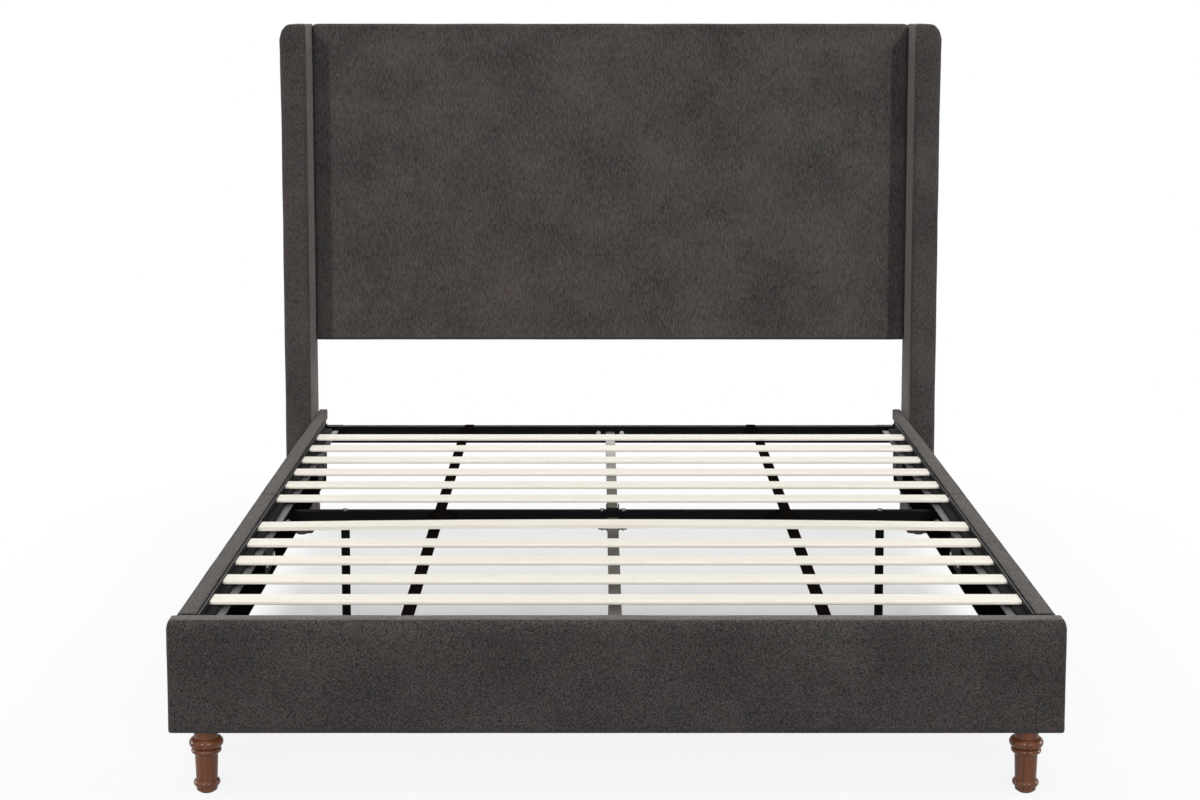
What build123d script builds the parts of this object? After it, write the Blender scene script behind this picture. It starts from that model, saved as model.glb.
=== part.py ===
from build123d import *
import os

os.makedirs("parts", exist_ok=True)

# An upholstered platform bed for a queen mattress: a tall headboard panel between two
# wings that reach the floor, two-piece padded side rails, a low padded footboard on
# turned legs, and a slat deck on steel ledges with a centre rail and three steel legs.
# X runs across the bed, Y from the foot to the head and Z up. The floor is Z = 0, and
# the origin lies on it under the middle of the bed.

# The mattress and the room left around it
mattress_width = 1524.0
mattress_length = 2032.0
mattress_side_play = 13.0
mattress_end_play = 19.0

# Cloth, and the clearances that pieces share
cloth_thick = 3.0
lining_thick = 1.5
hole_clearance = 0.15
thread_clearance = 0.06

# Footboard
footboard_height = 210.0
footboard_thick = 52.0
footboard_past_rail = 7.5
foot_pad_front = 7.0
foot_pad_side = 5.0
foot_pad_top = 8.0
foot_corner_round = 15.0
foot_front_round = 14.0
foot_rear_round = 7.0
foot_board_thick = 12.0
foot_edge_rail = 25.0
foot_post_width = 110.0
foot_stile_width = 40.0

# Front legs, turned from one piece of wood; radii, with the heights between them
leg_height = 118.0
leg_axis_in = 65.5
leg_axis_back = 28.0
leg_glide_radius = 13.0
leg_glide_height = 2.5
leg_foot_radius = 19.45
leg_foot_height = 8.5
leg_foot_round = 4.0
leg_lower_ring_radius = 24.4
leg_lower_ring_height = 14.0
leg_shaft_low_radius = 19.65
leg_shaft_high_radius = 22.5
leg_cove_depth = 1.4
leg_cove_height = 7.0
leg_shaft_height = 49.5
leg_upper_ring_radius = 27.8
leg_upper_ring_height = 10.5
leg_bead_radius = 31.45
leg_bead_height = 19.0
leg_neck_low_radius = 23.0
leg_neck_waist_radius = 22.4
leg_neck_top_radius = 24.0
hanger_radius = 4.0
hanger_in_leg = 34.0
hanger_in_post = 30.0
hanger_tip_room = 2.0
leg_insert_radius = 5.5
leg_insert_length = 20.0

# Side rails
rail_board_thick = 17.0
rail_batten_thick = 20.0
rail_batten_height = 40.0
rail_lift = 7.0
rail_edge_round = 2.0
rail_joint_share = 0.4812
rail_joint_gap = 0.6
rail_past_panel = 23.0
batten_short_of_end = 201.0

# Steel ledge under the slat ends, with its rubber pad
angle_thick = 3.0
angle_flange = 40.0
angle_foot_gap = 8.0
angle_joint_gap = 5.0
angle_round = 1.5
pad_width = 21.0
pad_thick = 6.5

# Slats
slat_thick = 8.0
slat_width = 52.0
slat_drop = 7.0
slat_edge_round = 3.0
slat_end_play = 1.0
slat_bow = 6.0
head_slats = 6
head_slat_pitch = 144.0
head_slat_back = 301.0
foot_slats = 5
foot_slat_pitch = 147.5
foot_slat_front = 116.0

# Headboard panel
panel_thick = 47.0
panel_height = 872.0
panel_side_gap = 1.0
panel_bottom_height = 527.0
panel_pad_front = 10.0
panel_pad_side = 4.5
panel_pad_edge = 5.0
panel_round = 10.0
panel_board_thick = 8.0
panel_edge_rail = 60.0
panel_stile_width = 40.0
panel_stiles = 8

# Wings
wing_gap = 1.5
wing_width = 68.5
wing_depth = 165.0
wing_pad_side = 4.0
wing_pad_front = 5.0
wing_pad_top = 8.0
wing_top_round = 28.0
wing_core_top_round = 24.0
wing_edge_round = 8.0
wing_inner_board = 15.0
wing_outer_board = 12.0
wing_stud_depth = 35.0
wing_block_height = 40.0
wing_glide_height = 7.0
wing_glide_radius = 15.0
wing_glide_round = 2.0
wing_glide_inset = 32.0

# Machine screws and their sockets
bolt_radius = 3.0
bolt_head_radius = 6.0
bolt_head_thick = 3.5
insert_radius = 5.0
insert_length = 13.0
blind_bolt_bite = 16.0
blind_hole_room = 0.5
post_bolt_bite = 20.0
stile_bolt_bite = 14.0
tip_short = 1.5
wing_bolts_per_side = 3
wing_bolt_margin = 93.0

# Brackets, pressed from one thickness of plate
plate_thick = 3.0
plate_rise = 25.0
plate_round = 8.0
plate_bolt_inset = 25.0
batten_to_plate = 5.0
joint_plate_length = 140.0
joint_bolt_inset = 20.0
shelf_reach = 57.0
foot_plate_reach = 70.0
head_plate_length = 190.0
head_plate_above = 37.0
head_plate_slope = 30.0
head_plate_slope_fall = 37.0
head_plate_past_batten = 5.0
wing_bolt_pitch = 60.0
wing_bolt_back = 45.0
wing_bolt_rise = 100.0
wing_bolt_low = 35.0
ear_bolt_in = 22.0
ear_bolt_split = 20.0
ear_bolt_tail = 4.0

# Cross rails and centre rail, steel tubes
tube_round = 2.0
tube_wall = 2.0
mid_rail_depth = 25.0
mid_rail_height = 40.0
mid_rail_end_gap = 30.0
rear_rail_depth = 25.0
rear_rail_height = 46.0
rear_rail_end_gap = 9.0
rear_rail_before_end = 40.0
centre_rail_width = 25.0
centre_rail_height = 22.0
centre_rail_wall = 1.5
centre_rail_foot_gap = 3.0
centre_rail_end_gap = 1.0
centre_rail_drop = 13.0
cross_rail_drop = 22.0

# Brackets that hold the centre rail
cradle_thick = 2.5
cradle_side_height = 14.0
cradle_reach = 31.0
pocket_plate_width = 60.0
pocket_plate_drop = 12.0
pocket_reach = 38.0
saddle_ear_height = 12.0
rear_cradle_plate_width = 84.0
rear_cradle_below_top = 4.0
rear_cradle_bolt_x = 32.0
rear_cradle_bolt_drop = 17.0

# Middle legs with their levelling feet
support_leg_from_plate = 176.0
support_tube_radius = 10.0
support_tube_wall = 1.5
support_plate_width = 66.0
support_plate_thick = 2.5
support_insert_height = 8.0
support_bolt_x = 24.0
support_bolt_tail = 5.0
foot_stud_radius = 4.0
foot_stud_engaged = 42.0
foot_pad_radius = 16.0
foot_pad_height = 9.0
foot_pad_edge = 2.5
foot_hex_flats = 13.0
foot_hex_height = 6.5
foot_hex_gap = 4.0
foot_open_height = 30.0

# Webbing that keeps the slats apart
strap_share = 0.5032
strap_width = 25.0
strap_thick = 1.5
strap_tab = 30.0
strap_end_short = 2.0


# Half widths, from the mattress out
inner_half = mattress_width / 2 + mattress_side_play
board_inner = inner_half + rail_batten_thick
board_outer = board_inner + rail_board_thick
rail_half = board_outer + cloth_thick
plate_inner = board_inner - plate_thick
support_leg_x = plate_inner - support_leg_from_plate
strap_x = strap_share * inner_half
wing_inner = rail_half + wing_gap
wing_outer = wing_inner + wing_width
footboard_half = rail_half + footboard_past_rail
panel_half = wing_inner - panel_side_gap
panel_core_half = panel_half - panel_pad_side

# Levels, from the floor up
footboard_top = leg_height + footboard_height
rail_bottom = leg_height + rail_lift
rail_top = footboard_top
board_bottom = rail_bottom + cloth_thick
board_top = rail_top - cloth_thick
batten_bottom = board_top - rail_batten_height
slat_top = rail_top - slat_drop
slat_bottom = slat_top - slat_thick
ledge_top = slat_bottom - pad_thick
ledge_bottom = ledge_top - angle_thick
cross_top = slat_bottom - cross_rail_drop
centre_rail_top = cross_top - centre_rail_drop
centre_rail_bottom = centre_rail_top - centre_rail_height
mid_rail_bottom = cross_top - mid_rail_height
rear_rail_bottom = cross_top - rear_rail_height
head_top = panel_bottom_height + panel_height
plate_bottom_height = rail_bottom + plate_rise

# Stations along the bed, from the foot to the head; the leg's bead is the foremost point
bed_length = footboard_thick + mattress_length + mattress_end_play + panel_thick
bead_reach = leg_bead_radius - leg_axis_back
foot_front = bead_reach - (bed_length + bead_reach) / 2
foot_rear = foot_front + footboard_thick
foot_core_rear = foot_rear - lining_thick
leg_y = foot_front + leg_axis_back
head_rear = foot_front + bed_length
panel_front = head_rear - panel_thick
panel_core_rear = head_rear - lining_thick
wing_front = head_rear - wing_depth
rail_rear = panel_front + rail_past_panel
batten_rear = rail_rear - batten_short_of_end
joint_y = foot_rear + rail_joint_share * (rail_rear - foot_rear)
mid_rail_front = joint_y - mid_rail_depth / 2
mid_rail_rear = joint_y + mid_rail_depth / 2
rear_rail_rear = rail_rear - rear_rail_before_end
rear_rail_front = rear_rail_rear - rear_rail_depth


def save(piece, name):
    piece.part.label = name
    export_step(piece.part, "parts/" + name + ".step")


def save_pair(right_piece, first_name, last_name=""):
    with BuildPart() as left_piece:
        mirror(right_piece.part, about=Plane.YZ)
    save(right_piece, first_name + "right" + last_name)
    save(left_piece, first_name + "left" + last_name)


def across(y):
    # A plane square to the bed's length, drawn on in X and Z; it faces the foot.
    return Plane.XZ.offset(-y)


def rectangle_between(a0, a1, b0, b1, mode=Mode.ADD):
    with Locations(((a0 + a1) / 2, (b0 + b1) / 2)):
        Rectangle(a1 - a0, b1 - b0, mode=mode)


def box_between(x0, x1, y0, y1, z0, z1, mode=Mode.ADD):
    with Locations(((x0 + x1) / 2, (y0 + y1) / 2, (z0 + z1) / 2)):
        Box(x1 - x0, y1 - y0, z1 - z0, mode=mode)


def bore(start, direction, length, radius):
    with BuildSketch(Plane(origin=start, z_dir=direction)) as mouth:
        Circle(radius)
    extrude(mouth.sketch, amount=length, mode=Mode.SUBTRACT)


def bolt(seat, direction, length):
    # The head bears on the seat, and the shank runs along the direction.
    with BuildSketch(Plane(origin=seat, z_dir=direction)) as shank:
        Circle(bolt_radius)
    extrude(shank.sketch, amount=length)
    with BuildSketch(Plane(origin=seat, z_dir=direction)) as head:
        Circle(bolt_head_radius)
    extrude(head.sketch, amount=-bolt_head_thick)


def sleeve(start, direction, length, outer, inner):
    with BuildSketch(Plane(origin=start, z_dir=direction)) as ring:
        Circle(outer)
        Circle(inner, mode=Mode.SUBTRACT)
    extrude(ring.sketch, amount=length)


toward_right = (1, 0, 0)
toward_left = (-1, 0, 0)
toward_foot = (0, -1, 0)
toward_head = (0, 1, 0)
downward = (0, 0, -1)
upward = (0, 0, 1)
bolt_hole = bolt_radius + hole_clearance
bolt_thread = bolt_radius + thread_clearance
insert_hole = insert_radius + hole_clearance


# Where the screws go, as Y and Z on the right-hand rail or wing
plate_top_under_batten = batten_bottom - batten_to_plate / 2
joint_bolt_half = joint_plate_length / 2 - joint_bolt_inset
joint_bolt_low = plate_bottom_height + plate_bolt_inset
joint_bolt_high = plate_top_under_batten - plate_bolt_inset
foot_bolt_y = foot_rear + foot_plate_reach - plate_bolt_inset
foot_bolt_x = footboard_half - leg_axis_in
head_plate_front = batten_rear + head_plate_past_batten
head_plate_rear = head_plate_front + head_plate_length
wing_bolt_rear = head_rear - wing_bolt_back
wing_bolt_front = wing_bolt_rear - wing_bolt_pitch
wing_bolt_bottom = plate_bottom_height + wing_bolt_low
wing_bolt_top = wing_bolt_bottom + wing_bolt_rise
rail_wing_spots = []
for spot_y in (wing_bolt_front, wing_bolt_rear):
    for spot_z in (wing_bolt_bottom, wing_bolt_top):
        rail_wing_spots.append((spot_y, spot_z))
panel_spots = []
panel_bolt_y = panel_core_rear - (panel_thick - panel_pad_front - panel_board_thick - lining_thick) / 2
panel_bolt_span = panel_height - 2 * wing_bolt_margin
for bolt_number in range(wing_bolts_per_side):
    lift = wing_bolt_margin + panel_bolt_span * bolt_number / (wing_bolts_per_side - 1)
    panel_spots.append((panel_bolt_y, panel_bottom_height + lift))


# Headboard panel: a ladder of two rails and eight stiles behind a thin board
core_bottom = panel_bottom_height + panel_pad_edge
core_top = head_top - panel_pad_edge
board_rear = panel_front + panel_pad_front + panel_board_thick
stile_pitch = (2 * panel_core_half - panel_stile_width) / (panel_stiles - 1)
stile_gap = stile_pitch - panel_stile_width
core_middle = (core_bottom + core_top) / 2
with BuildPart() as headboard_frame:
    with BuildSketch(across(panel_core_rear)):
        rectangle_between(-panel_core_half, panel_core_half, core_bottom, core_top)
        with Locations((0, core_middle)):
            with GridLocations(stile_pitch, 0, panel_stiles - 1, 1):
                Rectangle(stile_gap, core_top - core_bottom - 2 * panel_edge_rail, mode=Mode.SUBTRACT)
    extrude(amount=panel_core_rear - board_rear)
    for spot_y, spot_z in panel_spots:
        bore((panel_core_half, spot_y, spot_z), toward_left, insert_length, insert_hole)
        bore((panel_core_half, spot_y, spot_z), toward_left, stile_bolt_bite + tip_short, bolt_hole)
        bore((-panel_core_half, spot_y, spot_z), toward_right, insert_length, insert_hole)
        bore((-panel_core_half, spot_y, spot_z), toward_right, stile_bolt_bite + tip_short, bolt_hole)
save(headboard_frame, "headboard_frame")

with BuildPart() as headboard_board:
    with BuildSketch(across(board_rear)):
        rectangle_between(-panel_core_half, panel_core_half, core_bottom, core_top)
    extrude(amount=panel_board_thick)
save(headboard_board, "headboard_board")

# Its padded cover wraps the front and the four edges, and the back is open
with BuildPart() as headboard_cover:
    with BuildSketch(across(panel_core_rear)):
        rectangle_between(-panel_half, panel_half, panel_bottom_height, head_top)
    extrude(amount=panel_core_rear - panel_front)
    fillet(headboard_cover.faces().sort_by(Axis.Y)[0].edges(), radius=panel_round)
    box_between(-panel_core_half, panel_core_half, panel_front + panel_pad_front, panel_core_rear,
                core_bottom, core_top, mode=Mode.SUBTRACT)
    for spot_y, spot_z in panel_spots:
        bore((panel_half, spot_y, spot_z), toward_left, panel_pad_side, bolt_hole)
        bore((-panel_half, spot_y, spot_z), toward_right, panel_pad_side, bolt_hole)
save(headboard_cover, "headboard_cover")

with BuildPart() as headboard_back_cloth:
    with BuildSketch(across(head_rear)):
        rectangle_between(-panel_half, panel_half, panel_bottom_height, head_top)
    extrude(amount=lining_thick)
save(headboard_back_cloth, "headboard_back_cloth")


# Wings: a tall box open to the back, under a padded cover that is closed round it
wing_core_in = wing_inner + wing_pad_side
wing_core_out = wing_outer - wing_pad_side
wing_core_front = wing_front + wing_pad_front
wing_core_rear = head_rear - cloth_thick
wing_core_top = head_top - wing_pad_top
wing_room_in = wing_core_in + wing_inner_board
wing_room_out = wing_core_out - wing_outer_board
wing_room_front = wing_core_front + wing_stud_depth
with BuildPart() as wing_frame:
    with BuildSketch(Plane.XY.offset(wing_glide_height)):
        rectangle_between(wing_core_in, wing_core_out, wing_core_front, wing_core_rear)
        rectangle_between(wing_room_in, wing_room_out, wing_room_front, wing_core_rear, mode=Mode.SUBTRACT)
    extrude(amount=wing_core_top - wing_glide_height)
    for block_top in (wing_glide_height + wing_block_height, panel_bottom_height, wing_core_top):
        with BuildSketch(Plane.XY.offset(block_top - wing_block_height)):
            rectangle_between(wing_room_in, wing_room_out, wing_room_front, wing_core_rear)
        extrude(amount=wing_block_height)
    with BuildSketch(across(wing_core_rear)) as wing_core_outline:
        rectangle_between(wing_core_in, wing_core_out, wing_glide_height, wing_core_top)
        fillet(wing_core_outline.vertices().group_by(Axis.Z)[-1].sort_by(Axis.X)[-1], radius=wing_core_top_round)
    extrude(amount=wing_core_rear - wing_core_front, mode=Mode.INTERSECT)
    for spot_y, spot_z in panel_spots:
        bore((wing_core_in, spot_y, spot_z), toward_right, wing_inner_board, bolt_hole)
    for spot_y, spot_z in rail_wing_spots:
        bore((wing_core_in, spot_y, spot_z), toward_right, wing_inner_board, insert_hole)
save_pair(wing_frame, "wing_", "_frame")

with BuildPart() as wing_cover:
    with BuildSketch(across(head_rear)) as wing_outline:
        rectangle_between(wing_inner, wing_outer, wing_glide_height, head_top)
        fillet(wing_outline.vertices().group_by(Axis.Z)[-1].sort_by(Axis.X)[-1], radius=wing_top_round)
    extrude(amount=wing_depth)
    wing_face_edges = wing_cover.faces().sort_by(Axis.Y)[0].edges().sort_by(Axis.Z)[1:]
    wing_back_edges = wing_cover.faces().sort_by(Axis.Y)[-1].edges().sort_by(Axis.Z)[1:]
    fillet(wing_face_edges + wing_back_edges, radius=wing_edge_round)
    with BuildSketch(across(wing_core_rear)) as wing_hollow:
        rectangle_between(wing_core_in, wing_core_out, wing_glide_height, wing_core_top)
        fillet(wing_hollow.vertices().group_by(Axis.Z)[-1].sort_by(Axis.X)[-1], radius=wing_core_top_round)
    extrude(amount=wing_core_rear - wing_core_front, mode=Mode.SUBTRACT)
    for spot_y, spot_z in panel_spots + rail_wing_spots:
        bore((wing_inner, spot_y, spot_z), toward_right, wing_pad_side, bolt_hole)
save_pair(wing_cover, "wing_", "_cover")

with BuildPart() as wing_glides:
    glide_pitch = wing_depth - 2 * wing_glide_inset
    with BuildSketch():
        with Locations(((wing_inner + wing_outer) / 2, head_rear - wing_depth / 2)):
            with GridLocations(0, glide_pitch, 1, 2):
                Circle(wing_glide_radius)
    extrude(amount=wing_glide_height)
    fillet(wing_glides.edges().group_by(Axis.Z)[0], radius=wing_glide_round)
    mirror(about=Plane.YZ)
save(wing_glides, "wing_glides")

with BuildPart() as wing_bolts:
    for spot_y, spot_z in panel_spots:
        bolt((wing_room_in, spot_y, spot_z), toward_left,
             wing_room_in - panel_core_half + stile_bolt_bite)
    mirror(about=Plane.YZ)
save(wing_bolts, "wing_bolts")

with BuildPart() as wing_insert_nuts:
    for spot_y, spot_z in panel_spots:
        sleeve((panel_core_half, spot_y, spot_z), toward_left, insert_length, insert_radius, bolt_thread)
    for spot_y, spot_z in rail_wing_spots:
        sleeve((wing_room_in, spot_y, spot_z), toward_left, insert_length, insert_radius, bolt_thread)
    mirror(about=Plane.YZ)
save(wing_insert_nuts, "wing_insert_nuts")


# Footboard: a shallow box open to the back, with a solid post over each leg
foot_core_half = footboard_half - foot_pad_side
foot_core_front = foot_front + foot_pad_front
foot_core_bottom = leg_height + cloth_thick
foot_core_top = footboard_top - foot_pad_top
foot_room_front = foot_core_front + foot_board_thick
with BuildPart() as footboard_frame:
    box_between(-foot_core_half, foot_core_half, foot_core_front, foot_core_rear,
                foot_core_bottom, foot_core_top)
    room_outer = foot_core_half - foot_post_width
    room_low = foot_core_bottom + foot_edge_rail
    room_high = foot_core_top - foot_edge_rail
    with BuildSketch(across(foot_core_rear)):
        rectangle_between(foot_stile_width / 2, room_outer, room_low, room_high)
        mirror(about=Plane.YZ)
    extrude(amount=foot_core_rear - foot_room_front, mode=Mode.SUBTRACT)
    for side in (-1, 1):
        bore((side * foot_bolt_x, leg_y, foot_core_bottom), upward, leg_insert_length,
             leg_insert_radius + hole_clearance)
        bore((side * foot_bolt_x, leg_y, foot_core_bottom), upward, hanger_in_post + hanger_tip_room,
             hanger_radius + hole_clearance)
        for spot_z in (joint_bolt_low, joint_bolt_high):
            bore((side * foot_bolt_x, foot_core_rear, spot_z), toward_foot,
                 post_bolt_bite + blind_hole_room, bolt_hole)
save(footboard_frame, "footboard_frame")

with BuildPart() as footboard_cover:
    with BuildSketch(across(foot_core_rear)) as footboard_outline:
        rectangle_between(-footboard_half, footboard_half, leg_height, footboard_top)
        fillet(footboard_outline.vertices().group_by(Axis.Z)[-1], radius=foot_corner_round)
    extrude(amount=foot_core_rear - foot_front)
    foot_face_edges = footboard_cover.faces().sort_by(Axis.Y)[0].edges().sort_by(Axis.Z)[1:]
    fillet(foot_face_edges, radius=foot_front_round)
    foot_back_edges = footboard_cover.faces().sort_by(Axis.Y)[-1].edges().sort_by(Axis.Z)[1:]
    fillet(foot_back_edges, radius=foot_rear_round)
    box_between(-foot_core_half, foot_core_half, foot_core_front, foot_core_rear,
                foot_core_bottom, foot_core_top, mode=Mode.SUBTRACT)
    for side in (-1, 1):
        bore((side * foot_bolt_x, leg_y, leg_height), upward, cloth_thick, hanger_radius + hole_clearance)
save(footboard_cover, "footboard_cover")

with BuildPart() as footboard_lining:
    with BuildSketch(across(foot_rear)):
        rectangle_between(-foot_core_half, foot_core_half, foot_core_bottom, foot_core_top)
    extrude(amount=lining_thick)
    for side in (-1, 1):
        for spot_z in (joint_bolt_low, joint_bolt_high):
            bore((side * foot_bolt_x, foot_rear, spot_z), toward_foot, lining_thick, bolt_hole)
save(footboard_lining, "footboard_lining")


# Turned front leg: foot, lower ring, tapered shaft, upper ring, bead and neck
foot_top_z = leg_glide_height + leg_foot_height
shaft_low_z = foot_top_z + leg_lower_ring_height
shaft_high_z = shaft_low_z + leg_shaft_height
bead_low_z = shaft_high_z + leg_upper_ring_height
neck_low_z = bead_low_z + leg_bead_height
foot_round_cut = leg_foot_round * (1 - 0.5 ** 0.5)
with BuildPart() as front_leg:
    with BuildSketch(across(0)):
        with BuildLine():
            Line((0, leg_glide_height), (leg_foot_radius - leg_foot_round, leg_glide_height))
            ThreePointArc((leg_foot_radius - leg_foot_round, leg_glide_height),
                          (leg_foot_radius - foot_round_cut, leg_glide_height + foot_round_cut),
                          (leg_foot_radius, leg_glide_height + leg_foot_round))
            Line((leg_foot_radius, leg_glide_height + leg_foot_round), (leg_foot_radius, foot_top_z))
            ThreePointArc((leg_foot_radius, foot_top_z),
                          (leg_lower_ring_radius, (foot_top_z + shaft_low_z) / 2),
                          (leg_shaft_low_radius, shaft_low_z))
            Line((leg_shaft_low_radius, shaft_low_z),
                 (leg_shaft_high_radius - leg_cove_depth, shaft_high_z - leg_cove_height))
            ThreePointArc((leg_shaft_high_radius - leg_cove_depth, shaft_high_z - leg_cove_height),
                          (leg_shaft_high_radius - leg_cove_depth, shaft_high_z - leg_cove_height / 2),
                          (leg_shaft_high_radius, shaft_high_z))
            ThreePointArc((leg_shaft_high_radius, shaft_high_z),
                          (leg_upper_ring_radius, (shaft_high_z + bead_low_z) / 2),
                          (leg_neck_low_radius, bead_low_z))
            ThreePointArc((leg_neck_low_radius, bead_low_z),
                          (leg_bead_radius, (bead_low_z + neck_low_z) / 2),
                          (leg_neck_low_radius, neck_low_z))
            ThreePointArc((leg_neck_low_radius, neck_low_z),
                          (leg_neck_waist_radius, (neck_low_z + leg_height) / 2),
                          (leg_neck_top_radius, leg_height))
            Line((leg_neck_top_radius, leg_height), (0, leg_height))
            Line((0, leg_height), (0, leg_glide_height))
        make_face()
    revolve(axis=Axis.Z)
    bore((0, 0, leg_height), downward, hanger_in_leg + hanger_tip_room, hanger_radius + thread_clearance)
with BuildPart() as front_leg_right:
    with Locations((foot_bolt_x, leg_y, 0)):
        add(front_leg.part)
save_pair(front_leg_right, "front_leg_")

with BuildPart() as leg_hanger_bolts:
    for side in (-1, 1):
        with BuildSketch(Plane(origin=(side * foot_bolt_x, leg_y, leg_height - hanger_in_leg))):
            Circle(hanger_radius)
        extrude(amount=hanger_in_leg + cloth_thick + hanger_in_post)
save(leg_hanger_bolts, "leg_hanger_bolts")

with BuildPart() as leg_insert_nuts:
    for side in (-1, 1):
        sleeve((side * foot_bolt_x, leg_y, foot_core_bottom), upward, leg_insert_length,
               leg_insert_radius, hanger_radius + thread_clearance)
save(leg_insert_nuts, "leg_insert_nuts")

with BuildPart() as leg_glides:
    with BuildSketch():
        with Locations((foot_bolt_x, leg_y), (-foot_bolt_x, leg_y)):
            Circle(leg_glide_radius)
    extrude(amount=leg_glide_height)
save(leg_glides, "leg_glides")


# Side rails, in two halves that meet at the middle legs; each is a board with a batten
# along its top, under a cover that wraps the top, the outer face and the lower edge
front_half_rear = joint_y - rail_joint_gap / 2
rear_half_front = joint_y + rail_joint_gap / 2
board_reach = blind_bolt_bite + blind_hole_room
with BuildPart() as rail_front_frame:
    with BuildSketch(across(front_half_rear)):
        rectangle_between(board_inner, board_outer, board_bottom, board_top)
        rectangle_between(inner_half, board_inner, batten_bottom, board_top)
    extrude(amount=front_half_rear - foot_rear)
    for spot_y in (foot_bolt_y, joint_y - joint_bolt_half):
        for spot_z in (joint_bolt_low, joint_bolt_high):
            bore((board_inner, spot_y, spot_z), toward_right, board_reach, bolt_hole)
save_pair(rail_front_frame, "side_rail_", "_front_frame")

with BuildPart() as rail_rear_frame:
    with BuildSketch(across(rail_rear - cloth_thick)):
        rectangle_between(board_inner, board_outer, board_bottom, board_top)
    extrude(amount=rail_rear - cloth_thick - rear_half_front)
    with BuildSketch(across(batten_rear)):
        rectangle_between(inner_half, board_inner, batten_bottom, board_top)
    extrude(amount=batten_rear - rear_half_front)
    for spot_z in (joint_bolt_low, joint_bolt_high):
        bore((board_inner, joint_y + joint_bolt_half, spot_z), toward_right, board_reach, bolt_hole)
    for spot_y, spot_z in rail_wing_spots:
        bore((board_inner, spot_y, spot_z), toward_right, rail_board_thick, bolt_hole)
save_pair(rail_rear_frame, "side_rail_", "_rear_frame")

with BuildPart() as rail_front_cover:
    with BuildSketch(across(front_half_rear)) as front_skin:
        rectangle_between(inner_half, rail_half, rail_bottom, rail_top)
        fillet(front_skin.vertices().sort_by(Axis.X)[-2:], radius=rail_edge_round)
        rectangle_between(inner_half, board_inner, rail_bottom, board_top, mode=Mode.SUBTRACT)
        rectangle_between(board_inner, board_outer, board_bottom, board_top, mode=Mode.SUBTRACT)
    extrude(amount=front_half_rear - foot_rear)
save_pair(rail_front_cover, "side_rail_", "_front_cover")

with BuildPart() as rail_rear_cover:
    with BuildSketch(across(rail_rear)) as rear_skin:
        rectangle_between(board_inner, rail_half, rail_bottom, rail_top)
        fillet(rear_skin.vertices().sort_by(Axis.X)[-2:], radius=rail_edge_round)
    extrude(amount=rail_rear - rear_half_front)
    with BuildSketch(across(batten_rear)):
        rectangle_between(inner_half, board_inner, board_top, rail_top)
    extrude(amount=batten_rear - rear_half_front)
    box_between(board_inner, board_outer, rear_half_front, rail_rear - cloth_thick,
                board_bottom, board_top, mode=Mode.SUBTRACT)
    for spot_y, spot_z in rail_wing_spots:
        bore((board_outer, spot_y, spot_z), toward_right, cloth_thick, bolt_hole)
save_pair(rail_rear_cover, "side_rail_", "_rear_cover")

# Steel ledges: an angle on the batten, whose flange carries the slat ends on a pad
ledge_spans = {
    "front": (foot_rear + angle_foot_gap, joint_y - angle_joint_gap),
    "rear": (joint_y + angle_joint_gap, batten_rear - angle_joint_gap),
}
angle_leg_in = inner_half - angle_thick
for half_name, span in ledge_spans.items():
    with BuildPart() as ledge:
        with BuildSketch(across(span[1])) as angle_section:
            rectangle_between(inner_half - angle_flange, inner_half, ledge_bottom, ledge_top)
            rectangle_between(angle_leg_in, inner_half, ledge_bottom, board_top)
        extrude(amount=span[1] - span[0])
        ledge_tips = ledge.edges().filter_by(Axis.Y).group_by(Axis.X)[0]
        fillet(ledge_tips, radius=angle_round * 0.9)
    save_pair(ledge, "side_rail_", "_" + half_name + "_angle")

pad_inner = angle_leg_in - pad_width
with BuildPart() as ledge_pads:
    for span in ledge_spans.values():
        box_between(pad_inner, angle_leg_in, span[0], span[1], ledge_top, slat_bottom)
    mirror(about=Plane.YZ)
save(ledge_pads, "ledge_pads")


# Brackets on the rails' inner faces
with BuildPart() as rail_joint_brackets:
    with BuildSketch(Plane.YZ.offset(plate_inner)) as joint_web:
        rectangle_between(joint_y - joint_plate_length / 2, joint_y + joint_plate_length / 2,
                          plate_bottom_height, plate_top_under_batten)
        fillet(joint_web.vertices(), radius=plate_round)
    extrude(amount=plate_thick)
    shelf_inner = plate_inner - shelf_reach
    box_between(shelf_inner, plate_inner, mid_rail_front, mid_rail_rear + plate_thick,
                mid_rail_bottom - cradle_thick, mid_rail_bottom)
    with BuildSketch(across(mid_rail_rear + plate_thick)) as joint_ear:
        rectangle_between(shelf_inner, plate_inner, mid_rail_bottom, plate_top_under_batten)
        fillet(joint_ear.vertices().group_by(Axis.Z)[-1].sort_by(Axis.X)[0], radius=plate_round)
    extrude(amount=plate_thick)
    for spot_y in (joint_y - joint_bolt_half, joint_y + joint_bolt_half):
        for spot_z in (joint_bolt_low, joint_bolt_high):
            bore((plate_inner, spot_y, spot_z), toward_right, plate_thick, bolt_hole)
    mid_ear_bolt_x = shelf_inner + ear_bolt_in / 2
    mid_ear_bolt_z = (mid_rail_bottom + plate_top_under_batten) / 2
    bore((mid_ear_bolt_x, mid_rail_rear, mid_ear_bolt_z), toward_head, plate_thick, bolt_hole)
    mirror(about=Plane.YZ)
save(rail_joint_brackets, "rail_joint_brackets")

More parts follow.
